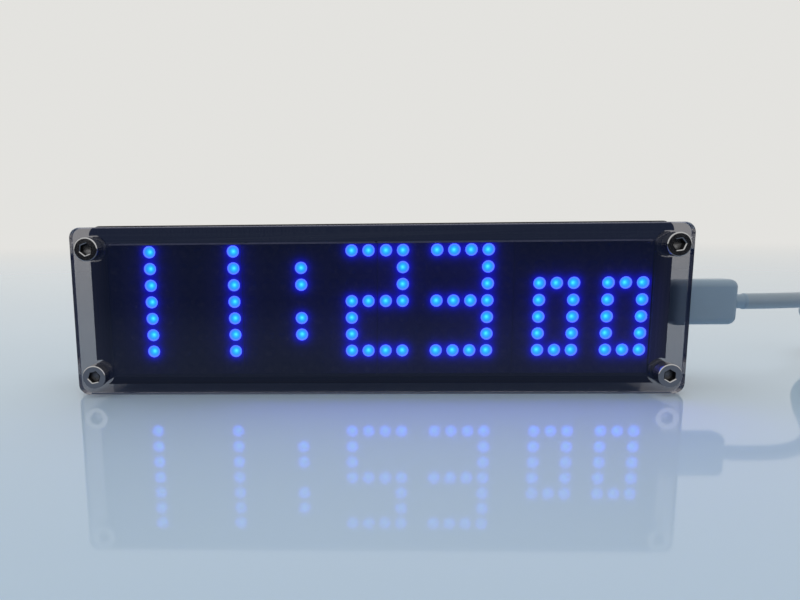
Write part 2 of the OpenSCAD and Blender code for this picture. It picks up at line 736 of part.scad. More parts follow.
module regulator() {
    stand = 0.1;
    tab_w = 3;
    lead_w = 0.7;
    lead_pitch = 2.3;
    color([0.1, 0.1, 0.1]) translate([can_x, board_y1, display_z]) rotate([0, 90, 0]) {
        translate([-regulator_l / 2, stand, -regulator_w / 2])
            cube([regulator_l, regulator_h - stand, regulator_w]);
        lead_row(regulator_w, regulator_h, regulator_reach, 3, lead_pitch, lead_w);
        mirror([0, 0, 1]) lead_row(regulator_w, regulator_h, regulator_reach, 1, lead_pitch, tab_w);
    }
}
module usb_receptacle() {
    inner_w = plug_w + 2 * plug_clear;
    inner_t = plug_t + 2 * plug_clear;
    color("silver") at_plug() bar(socket_x, mouth_x) difference() {
        slot_outline(inner_t + 2 * shell_wall, inner_w + 2 * shell_wall);
        slot_outline(inner_t, inner_w);
    }
}
module receptacle_tongue() {
    seat = 0.03;
    color([0.1, 0.1, 0.1]) at_plug() {
        bar(socket_x, socket_x + back_block)
            slot_outline(plug_t + 2 * (plug_clear - seat), plug_w + 2 * (plug_clear - seat));
        bar(socket_x + back_block - lead_t, tongue_x) square([tongue_t, tongue_w], center = true);
    }
}
module switch_bases() {
    rivet_d = 1;
    rivet_h = 0.25;
    rivet_in = 1;
    color([0.1, 0.1, 0.1]) for (i = [-1:1])
        translate([button_x, board_y1, display_z + i * button_pitch]) rotate([-90, 0, 0]) {
            difference() {
                translate([-switch_w / 2, -switch_w / 2, 0]) cube([switch_w, switch_w, switch_h]);
                translate([0, 0, switch_h - well_depth])
                    cylinder(d = plunger_d + 2 * well_clear, h = well_depth + past);
            }
            at = switch_w / 2 - rivet_in;
            for (x = [-1, 1], y = [-1, 1]) translate([x * at, y * at, switch_h - rivet_h])
                cylinder(d = rivet_d, h = 2 * rivet_h);
        }
}
module button(i) {
    edge = 0.3;
    foot = board_y1 + switch_h - well_depth + button_travel + travel_spare;
    plunger_l = panel_y + button_proud - foot;
    color([0.09, 0.09, 0.09]) translate([button_x, foot, display_z + i * button_pitch])
        rotate([-90, 0, 0]) rotate_extrude() polygon([[0, 0], [plunger_d / 2, 0],
            [plunger_d / 2, plunger_l - edge], [plunger_d / 2 - edge, plunger_l], [0, plunger_l]]);
}
module button_set() { button(1); }
module button_up() { button(0); }
module button_down() { button(-1); }
module usb_c_shell() {
    cavity_l = tongue_x - tip_x + tip_gap;
    color("silver") at_plug() difference() {
        bar(tip_x, grip_x) slot_outline(plug_t, plug_w);
        bar(tip_x - past, tip_x + cavity_l)
            square([tongue_t + 2 * tongue_clear, tongue_w + 2 * tongue_clear], center = true);
    }
}
module usb_c_grip() {
    color([0.62, 0.68, 0.72]) at_plug() translate([grip_x, 0, 0]) soft_block(grip_l, grip_t, grip_w, grip_r);
}
module cable_neck() {
    collar_l = 0.8;
    color([0.62, 0.68, 0.72]) at_plug() translate([neck_x, 0, 0]) rotate([0, 90, 0])
        rotate_extrude() polygon([[0, 0], [neck_d / 2, 0], [neck_d / 2, neck_l - collar_l],
            [cable_d / 2, neck_l - collar_l / 2], [cable_d / 2, neck_l], [0, neck_l]]);
}
module cable_lead() {
    color("whitesmoke") tube(lead_path, [1, 0, 0], coil_way(0), cable_d, cable_sides);
}
module cable_coil() {
    color("whitesmoke") tube(coil_path, coil_way(0), coil_way(coil_turns), cable_d, coil_sides);
}
module cable_tail() {
    color("whitesmoke") tube(tail_path, coil_way(coil_turns), tail_way, cable_d, cable_sides);
}
module cable_tie() {
    inner_r = coil_inner_r - turn_pitch / 8 - cable_d / 2;
    u0 = sqrt(inner_r * inner_r - tie_w * tie_w / 4) - tie_clear;
    u1 = coil_outer_r + cable_d / 2 + tie_clear;
    z0 = tie_t;
    z1 = coil_z + layer_rise + cable_d / 2 + tie_clear;
    corner = 2;
    color([0.12, 0.12, 0.13]) translate([coil_at[0], coil_at[1], 0]) rotate(tie_angle)
        slab(-tie_w / 2, tie_w / 2) translate([(u0 + u1) / 2, (z0 + z1) / 2]) difference() {
            round_rect(u1 - u0 + 2 * tie_t, z1 - z0 + 2 * tie_t, corner);
            round_rect(u1 - u0, z1 - z0, corner - tie_t);
        }
}
module usb_a_sleeve() {
    over_cable = 0.4;
    under_grip = 1.4;
    grooves = 3;
    groove_r = 0.3;
    r0 = (cable_d + over_cable) / 2;
    r1 = (far_grip_t - under_grip) / 2;
    color([0.62, 0.68, 0.72]) at_far_plug() rotate([0, 90, 0]) rotate_extrude() difference() {
        polygon([[0, 0], [r0, 0], [r1, far_sleeve_l], [0, far_sleeve_l]]);
        for (i = [1:grooves]) {
            along = i / (grooves + 1);
            translate([r0 + (r1 - r0) * along, far_sleeve_l * along]) circle(groove_r, $fn = 8);
        }
    }
}
module usb_a_grip() {
    edge = 1.8;
    color([0.62, 0.68, 0.72]) at_far_plug() translate([far_sleeve_l, 0, 0]) rotate([90, 0, 0])
        soft_block(far_grip_l, far_grip_t, far_grip_w, edge);
}
module usb_a_shell() {
    x0 = far_sleeve_l + far_grip_l;
    window_l = 2.5;
    window_back = 6.5;
    window_x = x0 + far_shell_l - window_back;
    window_y = 2.8;
    color("silver") at_far_plug() difference() {
        bar(x0, x0 + far_shell_l) difference() {
            square([far_shell_w, far_shell_t], center = true);
            square([far_shell_w - 2 * far_shell_wall, far_shell_t - 2 * far_shell_wall], center = true);
        }
        for (s = [-1, 1]) translate([window_x, s * window_y - window_l / 2, -far_shell_t])
            cube([window_l, window_l, 2 * far_shell_t]);
    }
}
module usb_a_insert() {
    seat = 0.05;
    x0 = far_sleeve_l + far_grip_l;
    mouth_short = 0.8;
    color([0.9, 0.9, 0.9]) at_far_plug()
        bar(x0, x0 + far_shell_l - mouth_short)
            translate([0, -far_shell_t / 2 + far_shell_wall + seat + far_insert_t / 2])
                square([far_shell_w - 2 * (far_shell_wall + seat), far_insert_t], center = true);
}

front_panel();
rear_panel();
front_screws();
rear_screws();
standoffs();
housing();
led_matrix_1();
led_matrix_2();
led_matrix_3();
led_matrix_4();
lit_dots();
unlit_dots();
matrix_pins();
circuit_board();
driver_chips();
microcontroller();
clock_chip();
crystal();
cell_holder();
coin_cell();
buzzer();
capacitors();
chip_resistors();
regulator();
usb_receptacle();
receptacle_tongue();
switch_bases();
button_set();
button_up();
button_down();
usb_c_shell();
usb_c_grip();
cable_neck();
cable_lead();
cable_coil();
cable_tail();
cable_tie();
usb_a_sleeve();
usb_a_grip();
usb_a_shell();
usb_a_insert();
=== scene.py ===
"""Looks of a desk clock: four dot modules in a black housing between two smoked panels.

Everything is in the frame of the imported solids: X to the right, Y away from the viewer, Z up, and
the origin on the table under the middle of the clock. The pieces' sizes are in millimetres until a
mesh is made; the studio and the shaders work in metres.
"""

from __future__ import annotations

import json
import logging
import math
from collections.abc import Mapping, Sequence
from dataclasses import dataclass, field
from enum import Enum
from typing import Any

import bmesh
import bpy
import numpy as np
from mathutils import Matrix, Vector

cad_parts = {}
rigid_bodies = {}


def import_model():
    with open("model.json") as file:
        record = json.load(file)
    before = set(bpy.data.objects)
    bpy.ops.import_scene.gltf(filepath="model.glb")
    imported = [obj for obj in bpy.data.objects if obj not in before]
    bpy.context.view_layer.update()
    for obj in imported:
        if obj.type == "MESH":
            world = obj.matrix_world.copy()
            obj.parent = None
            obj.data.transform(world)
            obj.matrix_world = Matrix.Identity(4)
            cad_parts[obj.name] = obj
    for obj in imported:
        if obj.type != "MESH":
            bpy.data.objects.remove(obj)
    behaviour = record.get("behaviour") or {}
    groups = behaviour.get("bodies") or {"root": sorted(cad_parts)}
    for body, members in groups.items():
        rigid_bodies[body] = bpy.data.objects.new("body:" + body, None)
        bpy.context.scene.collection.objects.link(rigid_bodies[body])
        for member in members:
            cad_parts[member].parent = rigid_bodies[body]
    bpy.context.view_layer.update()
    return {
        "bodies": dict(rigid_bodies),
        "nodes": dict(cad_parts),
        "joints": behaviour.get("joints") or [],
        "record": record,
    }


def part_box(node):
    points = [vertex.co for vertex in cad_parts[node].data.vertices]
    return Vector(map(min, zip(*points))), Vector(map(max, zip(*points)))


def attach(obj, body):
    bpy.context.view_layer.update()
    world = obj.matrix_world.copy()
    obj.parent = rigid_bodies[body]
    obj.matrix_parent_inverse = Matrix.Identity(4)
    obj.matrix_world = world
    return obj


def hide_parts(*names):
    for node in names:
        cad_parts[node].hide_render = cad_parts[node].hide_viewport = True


MM = 0.001  # metres
WELD = 1e-6  # metres between points that become one
log = logging.getLogger("clock")

Colour = tuple[float, float, float]
Place = tuple[float, float, float]
Span = tuple[float, float]


class Body(Enum):
    """The bodies of the clock that a piece can ride on."""

    CLOCK = "clock"
    CABLE = "power_cable"


class Socket:
    """One output of a node, with the sums that a shader needs written as Python sums."""

    def __init__(self, graph: Graph, link: bpy.types.NodeSocket) -> None:
        """Keeps the graph, and a link to one output of a node in it."""
        self.graph = graph
        self.link = link

    def sibling(self, name: str) -> Socket:
        """Returns another output of the same node."""
        return Socket(self.graph, self.link.node.outputs[name])

    def math(self, operation: str, *values: Any) -> Socket:
        """Returns the result of a Math node: the operation on those numbers or sockets."""
        return self.graph.node("ShaderNodeMath", {"operation": operation}, dict(enumerate(values)))

    def __add__(self, other: Any) -> Socket:
        """Returns self + other."""
        return self.math("ADD", self, other)

    def __radd__(self, other: Any) -> Socket:
        """Returns other + self."""
        return self.math("ADD", other, self)

    def __sub__(self, other: Any) -> Socket:
        """Returns self - other."""
        return self.math("SUBTRACT", self, other)

    def __rsub__(self, other: Any) -> Socket:
        """Returns other - self."""
        return self.math("SUBTRACT", other, self)

    def __mul__(self, other: Any) -> Socket:
        """Returns self * other."""
        return self.math("MULTIPLY", self, other)

    def __rmul__(self, other: Any) -> Socket:
        """Returns other * self."""
        return self.math("MULTIPLY", other, self)

    def __truediv__(self, other: Any) -> Socket:
        """Returns self / other."""
        return self.math("DIVIDE", self, other)

    def __pow__(self, other: Any) -> Socket:
        """Returns self to the power other."""
        return self.math("POWER", self, other)

    def __abs__(self) -> Socket:
        """Returns the size of self without its sign."""
        return self.math("ABSOLUTE", self)

    def __lt__(self, other: Any) -> Socket:
        """Returns 1 where self is under other, else 0."""
        return self.math("LESS_THAN", self, other)

    def __gt__(self, other: Any) -> Socket:
        """Returns 1 where self is over other, else 0."""
        return self.math("GREATER_THAN", self, other)

    def least(self, other: Any) -> Socket:
        """Returns the smaller of self and other."""
        return self.math("MINIMUM", self, other)

    def most(self, other: Any) -> Socket:
        """Returns the larger of self and other."""
        return self.math("MAXIMUM", self, other)

    def sine(self) -> Socket:
        """Returns the sine of self, an angle in radians."""
        return self.math("SINE", self)

    def nearest(self) -> Socket:
        """Returns the whole number nearest to self."""
        return self.math("ROUND", self)

    def eased(self, low: float, high: float) -> Socket:
        """Steps smoothly from 0 to 1.

        Args:
            low: Where the step leaves 0.
            high: Where it reaches 1.

        Returns:
            The step.
        """
        return self.graph.node(
            "ShaderNodeMapRange",
            {"interpolation_type": "SMOOTHSTEP"},
            {"Value": self, "From Min": low, "From Max": high},
        )

    def over(self, span: Span) -> Socket:
        """Returns a smooth step from 0 to 1 over a span that is given in millimetres."""
        return self.eased(span[0] * MM, span[1] * MM)


class Graph:
    """A node tree under construction."""

    def __init__(self, tree: bpy.types.NodeTree) -> None:
        """Keeps the tree that the nodes go into."""
        self.tree = tree

    def node(
        self,
        kind: str,
        settings: Mapping[str, Any] | None = None,
        sockets: Mapping[Any, Any] | None = None,
        out: Any = 0,
    ) -> Socket:
        """Adds one node.

        Args:
            kind: Blender's name of the node's type.
            settings: The node's own options, set first; "stops" holds a ramp's places and colours.
            sockets: Values or links by input name or number.
            out: The name or number of the output that is wanted.

        Returns:
            That output.
        """
        made = self.tree.nodes.new(kind)
        for name, value in (settings or {}).items():
            if name == "stops":
                self.fill_ramp(made.color_ramp, value)
            else:
                setattr(made, name, value)
        for key, value in (sockets or {}).items():
            self.feed(made.inputs[key], value)
        return Socket(self, made.outputs[out])

    def fill_ramp(self, ramp: bpy.types.ColorRamp, stops: Sequence[tuple[float, Colour]]) -> None:
        """Gives a colour ramp its stops.

        Args:
            ramp: The ramp.
            stops: Each stop's place from 0 to 1 and its colour.
        """
        while len(ramp.elements) < len(stops):
            ramp.elements.new(1.0)
        for element, (at, colour) in zip(ramp.elements, stops):
            element.position = at
            element.color = (*colour, 1.0)

    def feed(self, target: bpy.types.NodeSocket, value: Any) -> None:
        """Links a socket to an input, or sets the input to a plain value.

        Args:
            target: The input.
            value: The socket, colour or number.
        """
        if isinstance(value, Socket):
            self.tree.links.new(value.link, target)
        elif target.type == "RGBA" and len(value) == 3:
            target.default_value = (*value, 1.0)
        else:
            target.default_value = value

    def mix(self, share: Any, first: Any, second: Any) -> Socket:
        """Returns a mix of two colours: the first at share 0, and the second at share 1."""
        return self.node("ShaderNodeMix", {"data_type": "RGBA"}, {0: share, 6: first, 7: second}, 2)

    def tinted(self, colour: Colour, amount: Socket) -> Socket:
        """Returns a colour times an amount."""
        inputs = {0: colour, "Scale": amount}
        return self.node("ShaderNodeVectorMath", {"operation": "SCALE"}, inputs)

    def total(self, first: Any, second: Any) -> Socket:
        """Returns the sum of two colours."""
        return self.node("ShaderNodeVectorMath", {"operation": "ADD"}, {0: first, 1: second})

    def place(self) -> Socket:
        """Returns the point's place in the clock's frame, in metres."""
        return self.node("ShaderNodeTexCoord", out="Object")

    def apart(self, vector: Socket) -> tuple[Socket, Socket, Socket]:
        """Returns the three parts of a vector."""
        x = self.node("ShaderNodeSeparateXYZ", None, {0: vector})
        return x, x.sibling("Y"), x.sibling("Z")

    def stretched(self, vector: Socket, scale: Place) -> Socket:
        """Returns a place with each direction scaled by its own factor."""
        return self.node("ShaderNodeMapping", None, {"Vector": vector, "Scale": scale})

    def value(self, name: str) -> Socket:
        """Returns one of the piece's own point values."""
        return self.node("ShaderNodeAttribute", {"attribute_name": name}, out="Fac")

    def noise(self, at: Socket, scale: float, detail: float = 3.0) -> Socket:
        """Returns cloudy noise from 0 to 1, by its clouds in a metre and their finer layers."""
        inputs = {"Vector": at, "Scale": scale, "Detail": detail}
        return self.node("ShaderNodeTexNoise", None, inputs)

    def bump(self, height: Socket, depth: float) -> Socket:
        """Returns a normal for a height from 0 to 1 that is depth metres deep."""
        return self.node("ShaderNodeBump", None, {"Height": height, "Distance": depth})


class MaterialGraph(Graph):
    """The node tree of one material, with its principled shader."""

    def __init__(self, name: str) -> None:
        """Makes an empty material.

        Args:
            name: The material's name.
        """
        self.material = bpy.data.materials.new(name)
        self.material.use_nodes = True
        super().__init__(self.material.node_tree)
        self.shader = self.tree.nodes["Principled BSDF"]
        self.surface = Socket(self, self.shader.outputs[0])

    def dress(self, looks: Mapping[str, Any]) -> None:
        """Sets or links the shader's inputs by name."""
        for name, value in looks.items():
            self.feed(self.shader.inputs[name], value)

    def fed(self, name: str) -> Socket:
        """Returns what is linked to one of the shader's inputs so far."""
        return Socket(self, self.shader.inputs[name].links[0].from_socket)

    def cover(self, share: Socket, layer: Socket) -> None:
        """Mixes another shader over the surface so far.

        Args:
            share: How much of the other shader shows, from 0 to 1.
            layer: The other shader.
        """
        inputs = {0: share, 1: self.surface, 2: layer}
        self.surface = self.node("ShaderNodeMixShader", None, inputs)
        self.feed(self.tree.nodes["Material Output"].inputs["Surface"], self.surface)


@dataclass(frozen=True)
class Finish:
    """How one kind of surface looks; each kind paints its own material."""

    name: str

    def material(self) -> bpy.types.Material:
        """Makes the finish's material on its first use, and finds it again after that.

        Returns:
            The material.
        """
        title = self.name + "_finish"
        if title not in bpy.data.materials:
            self.paint(MaterialGraph(title))
        return bpy.data.materials[title]

    def paint(self, graph: MaterialGraph) -> None:
        """Builds the material in an empty graph."""
        raise NotImplementedError


@dataclass(frozen=True)
class SmokedSheet(Finish):
    """Grey-tinted clear sheet: faint smears, dust specks, a painted glow of caught light."""

    tint: Colour = (0.30, 0.295, 0.305)
    lamp_tint: Colour = (0.45, 0.445, 0.45)
    haze: Colour = (0.0, 0.0, 0.0)
    sawn_z: float = 39.75
    sawn_light: Colour = (0.0, 0.0, 0.0)
    polish: float = 0.012
    smeared: float = 0.035
    dusty: float = 0.2

    def paint(self, graph: MaterialGraph) -> None:
        """Refracts what is behind it, paints light on its sawn upper edge, and tints lamplight.

        Args:
            graph: The material\'s graph, empty at first.
        """
        at = graph.place()
        _, _, z = graph.apart(at)
        sawn = graph.tinted(self.sawn_light, z > self.sawn_z * MM)
        smear = graph.noise(graph.stretched(at, (1.0, 1.0, 0.6)), 55.0, 5.0).eased(0.52, 0.78)
        dust = graph.noise(at, 2600.0, 1.0).eased(0.74, 0.80)
        graph.dress(
            {
                "Base Color": self.tint,
                "Transmission Weight": 1.0,
                "IOR": 1.49,
                "Specular IOR Level": 0.28,
                "Roughness": self.polish + self.smeared * smear + self.dusty * dust,
                # Painted light: haze is a faint glow over the whole sheet, and sawn a highlight
                # along its upper edge, both emission.
                "Emission Color": graph.total(self.haze, sawn),
                "Emission Strength": 1.0,
            }
        )
        lamps = graph.node("ShaderNodeLightPath", out="Is Shadow Ray")
        clear = graph.node("ShaderNodeBsdfTransparent", None, {"Color": self.lamp_tint})
        graph.cover(lamps, clear)


@dataclass(frozen=True)
class BareMetal(Finish):
    """Plated or plain metal with fine tool marks along one direction."""

    colour: Colour = (0.62, 0.62, 0.64)
    roughness: float = 0.2
    marks: Place = (1.0, 1.0, 1.0)
    mark_scale: float = 3000.0
    mark_depth: float = 2e-6

    def paint(self, graph: MaterialGraph) -> None:
        """Varies shine and colour with tool marks and slow clouds of handling.

        Args:
            graph: The material\'s graph, empty at first.
        """
        at = graph.place()
        line = graph.noise(graph.stretched(at, self.marks), self.mark_scale, 2.0)
        cloud = graph.noise(at, 220.0)
        dark = tuple(0.82 * part for part in self.colour)
        graph.dress(
            {
                "Base Color": graph.mix(cloud, dark, self.colour),
                "Metallic": 1.0,
                "Roughness": self.roughness * 0.75 + self.roughness * 0.3 * line + 0.08 * cloud,
                "Normal": graph.bump(line, self.mark_depth),
            }
        )


@dataclass(frozen=True)
class SocketSteel(BareMetal):
    """Plated steel with painted shade in its wrench socket, by the piece's own value "deep"."""

    socket_shade_colour: Colour = (0.045, 0.045, 0.05)
    dulled: float = 0.25

    def paint(self, graph: MaterialGraph) -> None:
        """Paints shade into the plating inside the socket, and dulls it.

        Args:
            graph: The material\'s graph, empty at first.
        """
        super().paint(graph)
        deep = graph.value("deep")
        # Painted shade: the socket's inside is mixed towards a dark colour by "deep", standing in
        # for the shade in the recess.
        graph.dress(
            {
                "Base Color": graph.mix(deep, graph.fed("Base Color"), self.socket_shade_colour),
                "Roughness": graph.fed("Roughness") + self.dulled * deep,
            }
        )


@dataclass(frozen=True)
class MouldedPlastic(Finish):
    """Moulded plastic with a fine grain, and a parting line where the mould halves met."""

    colour: Colour = (0.02, 0.02, 0.021)
    roughness: float = 0.42
    grain_scale: float = 3200.0
    grain_depth: float = 8e-6
    seam_z: float | None = None
    seam_w: float = 0.08
    scuffs: float = 0.25

    def paint(self, graph: MaterialGraph) -> None:
        """Adds grain, light scuffs and the parting line to an even colour.

        Args:
            graph: The material\'s graph, empty at first.
        """
        at = graph.place()
        grain = graph.noise(at, self.grain_scale)
        scuff = graph.noise(graph.stretched(at, (1.0, 1.0, 3.0)), 180.0, 6.0).eased(0.5, 0.8)
        light = tuple(min(1.0, 1.25 * part + 0.01) for part in self.colour)
        height = grain
        if self.seam_z is not None:
            _, _, z = graph.apart(at)
            off = abs(z - self.seam_z * MM) / (self.seam_w * MM)
            height = grain * 0.5 + off.least(1.0)
        graph.dress(
            {
                "Base Color": graph.mix(scuff * self.scuffs, self.colour, light),
                "Roughness": self.roughness - 0.06 + 0.1 * grain + 0.12 * scuff * self.scuffs,
                "Normal": graph.bump(height, self.grain_depth),
            }
        )


@dataclass(frozen=True)
class LitFrame(MouldedPlastic):
    """Plastic behind the front panel that catches light above the display and beside it."""

    front_y: float = -9.4
    top_z: Span = (36.1, 39.9)
    side_x: Span = (62.0, 69.0)
    side_z: Span = (20.0, 34.0)
    base_z: Span = (3.5, 9.0)
    end_x: Span = (62.0, 68.0)
    top_light: Colour = (0.024, 0.030, 0.048)
    side_light: Colour = (0.012, 0.012, 0.090)
    end_light: Colour = (0.0136, 0.015, 0.024)

    def paint(self, graph: MaterialGraph) -> None:
        """Lights the plastic's front by where it is.

        Args:
            graph: The material\'s graph, empty at first.
        """
        super().paint(graph)
        x, y, z = graph.apart(graph.place())
        front = y < self.front_y * MM
        top = (z > self.top_z[0] * MM) * (z < self.top_z[1] * MM)
        base = z.over(self.base_z)
        beside = (x > self.side_x[0] * MM) * (1.0 - x.over(self.side_x))
        level = base - z.over(self.side_z)
        ends = abs(x).over(self.end_x) * base * (1.0 - top)
        light = graph.total(
            graph.tinted(self.top_light, front * top),
            graph.tinted(self.side_light, front * beside * level),
        )
        light = graph.total(light, graph.tinted(self.end_light, front * ends))
        graph.dress({"Emission Color": light, "Emission Strength": 1.0})


@dataclass(frozen=True)
class LitDot(Finish):
    """The glowing cup of a dot: a pale cyan middle, a blue wall and a lilac rim."""

    strength: float = 9.4
    resin: Colour = (0.05, 0.08, 0.12)
    stops: tuple[tuple[float, Colour], ...] = (
        (0.0, (0.052, 0.387, 0.62)),
        (0.15, (0.0194, 0.313, 0.62)),
        (0.40, (0.0067, 0.171, 0.75)),
        (0.70, (0.0097, 0.097, 0.90)),
        (0.86, (0.0447, 0.1005, 1.0)),
        (0.95, (0.0372, 0.0633, 0.58)),
        (1.0, (0.0104, 0.0104, 0.14)),
    )

    def paint(self, graph: MaterialGraph) -> None:
        """Colours the glow by the distance from the middle of the cup.

        Args:
            graph: The material\'s graph, empty at first.
        """
        glow = graph.node("ShaderNodeValToRGB", {"stops": self.stops}, {0: graph.value("ring")})
        graph.dress(
            {
                "Base Color": self.resin,
                "Roughness": 0.3,
                "Emission Color": glow,
                "Emission Strength": self.strength,
            }
        )


@dataclass(frozen=True)
class TrayPlastic(Finish):
    """Module tray: black ink over grey plastic, bare along the upper edge, with painted light."""

    bare_z: Span = (35.65, 35.80)
    ink: Colour = (0.016, 0.016, 0.018)
    bare: Colour = (0.80, 0.80, 0.86)
    painted_highlight: Colour = (0.11, 0.12, 0.19)

    def paint(self, graph: MaterialGraph) -> None:
        """Shows the bare plastic over a height, unevenly, with a painted highlight on it.

        Args:
            graph: The material\'s graph, empty at first.
        """
        at = graph.place()
        _, _, z = graph.apart(at)
        patch = graph.noise(at, 420.0)
        # The tray's own grey plastic shows along the top edge only, where light falls; the emission
        # over it is a painted highlight.
        bare_edge_and_highlight = z.over(self.bare_z) * (patch * 0.6 + 0.45)
        graph.dress(
            {
                "Base Color": graph.mix(bare_edge_and_highlight, self.ink, self.bare),
                "Emission Color": graph.tinted(self.painted_highlight, bare_edge_and_highlight),
                "Emission Strength": 1.0,
                "Roughness": 0.45 + 0.1 * patch - 0.2 * bare_edge_and_highlight,
                "Normal": graph.bump(graph.noise(at, 2600.0), 8e-6),
            }
        )


@dataclass(frozen=True)
class DisplayFinish(Finish):
    """A dark part of the display's face that catches light from the lit dots near by."""

    halo_light: Colour = (0.004, 0.0, 1.45)
    glow_light: Colour = (0.012, 0.006, 0.26)

    def spill(self, graph: MaterialGraph) -> dict[str, Any]:
        """Spills light on the face: a narrow halo and a wide glow, by the piece's own values.

        Args:
            graph: The material's graph.

        Returns:
            The emission's colour and strength.
        """
        halo = graph.tinted(self.halo_light, graph.value("halo"))
        wide = graph.tinted(self.glow_light, graph.value("glow"))
        return {"Emission Color": graph.total(halo, wide), "Emission Strength": 1.0}


@dataclass(frozen=True)
class DarkDot(DisplayFinish):
    """A dot that is off: smoky resin."""

    dense: Colour = (0.010, 0.010, 0.012)
    thin: Colour = (0.020, 0.020, 0.023)

    def paint(self, graph: MaterialGraph) -> None:
        """Clouds the resin a little.

        Args:
            graph: The material\'s graph, empty at first.
        """
        cloud = graph.noise(graph.place(), 900.0)
        looks = {
            "Base Color": graph.mix(cloud, self.dense, self.thin),
            "Roughness": 0.42 + 0.15 * cloud,
        }
        graph.dress(looks | self.spill(graph))


@dataclass(frozen=True)
class PrintedFace(DisplayFinish):
    """The black face of a module."""

    ink: Colour = (0.010, 0.010, 0.012)
    grains: Colour = (0.018, 0.018, 0.021)

    def paint(self, graph: MaterialGraph) -> None:
        """Grains the matt black ink.

        Args:
            graph: The material\'s graph, empty at first.
        """
        grain = graph.noise(graph.place(), 4200.0, 2.0)
        looks = {
            "Base Color": graph.mix(grain, self.ink, self.grains),
            "Roughness": 0.42 + 0.16 * grain,
            "Normal": graph.bump(grain, 6e-6),
        }
        graph.dress(looks | self.spill(graph))


@dataclass(frozen=True)
class BoardMask(Finish):
    """Green resist over woven glass."""

    colour: Colour = (0.012, 0.075, 0.040)
    weave: float = 5200.0

    def paint(self, graph: MaterialGraph) -> None:
        """Shows the weave of the glass faintly through the resist.

        Args:
            graph: The material\'s graph, empty at first.
        """
        at = graph.place()
        x, _, z = graph.apart(at)
        weave = (x * self.weave).sine() * (z * self.weave).sine()
        cloud = graph.noise(at, 260.0, 4.0)
        light = tuple(1.7 * part for part in self.colour)
        graph.dress(
            {
                "Base Color": graph.mix(cloud * 0.6 + 0.2 * weave, self.colour, light),
                "Roughness": 0.26 + 0.14 * cloud,
                "Normal": graph.bump(weave * 0.5 + 0.5, 4e-6),
            }
        )


@dataclass(frozen=True)
class ChipPackage(Finish):
    """A flat chip: black moulded body with a dimple, and tinned leads outside it."""

    centres: tuple[Span, ...] = ((0.0, 0.0),)
    half: Span = (1.0, 1.0)
    mirrored: bool = False
    dimple_in: float = 1.1
    dimple_r: float = 0.45
    epoxy: Colour = (0.012, 0.012, 0.013)
    grains: Colour = (0.026, 0.026, 0.027)
    dimpled: Colour = (0.06, 0.06, 0.06)
    tin: Colour = (0.72, 0.71, 0.69)

    def paint(self, graph: MaterialGraph) -> None:
        """Tells body from leads by the distance from each chip's middle.

        Args:
            graph: The material\'s graph, empty at first.
        """
        at = graph.place()
        x, _, z = graph.apart(at)
        across = abs(x) if self.mirrored else x
        body: Any = 0.0
        dimple: Any = 0.0
        for cx, cz in self.centres:
            inside = abs(across - cx * MM) < self.half[0] * MM
            inside = inside * (abs(z - cz * MM) < self.half[1] * MM)
            body = inside + body
            dx = across - (cx - self.half[0] + self.dimple_in) * MM
            dz = z - (cz + self.half[1] - self.dimple_in) * MM
            dimple = ((dx * dx + dz * dz) < (self.dimple_r * MM) ** 2) + dimple
        grain = graph.noise(at, 5000.0, 2.0)
        epoxy = graph.mix(grain, self.epoxy, self.grains)
        epoxy = graph.mix(dimple * 0.7, epoxy, self.dimpled)
        graph.dress(
            {
                "Base Color": graph.mix(body, self.tin, epoxy),
                "Metallic": 1.0 - body,
                "Roughness": 0.3 + 0.25 * body + 0.1 * grain,
                "Normal": graph.bump(grain - dimple, 1.2e-5),
            }
        )


@dataclass(frozen=True)
class CapacitorCan(Finish):
    """An aluminium can with a dark half mark on top, over a black foot."""

    foot_y: float = 1.7
    top_y: float = 6.2
    mark_x: float = 62.6
    can: Colour = (0.74, 0.74, 0.76)
    black: Colour = (0.02, 0.02, 0.022)

    def paint(self, graph: MaterialGraph) -> None:
        """Tells foot, can and mark apart by height and side.

        Args:
            graph: The material\'s graph, empty at first.
        """
        at = graph.place()
        x, y, _ = graph.apart(at)
        foot = y < self.foot_y * MM
        mark = (y > self.top_y * MM) * (x > self.mark_x * MM)
        dark = foot.most(mark)
        line = graph.noise(graph.stretched(at, (1.0, 20.0, 1.0)), 900.0, 2.0)
        graph.dress(
            {
                "Base Color": graph.mix(dark, self.can, self.black),
                "Metallic": 1.0 - dark,
                "Roughness": 0.24 + 0.2 * dark + 0.1 * line,
                "Normal": graph.bump(line, 3e-6),
            }
        )


@dataclass(frozen=True)
class SwitchCase(Finish):
    """A black switch base under a bright steel plate."""

    plate_y: float = 3.6
    base: Colour = (0.018, 0.018, 0.018)
    steel: Colour = (0.64, 0.64, 0.65)

    def paint(self, graph: MaterialGraph) -> None:
        """Tells plate from base by height over the board.

        Args:
            graph: The material\'s graph, empty at first.
        """
        at = graph.place()
        _, y, _ = graph.apart(at)
        plate = y > self.plate_y * MM
        grain = graph.noise(at, 2600.0)
        graph.dress(
            {
                "Base Color": graph.mix(plate, self.base, self.steel),
                "Metallic": plate,
                "Roughness": 0.45 - 0.18 * plate + 0.1 * grain,
                "Normal": graph.bump(grain, 5e-6),
            }
        )


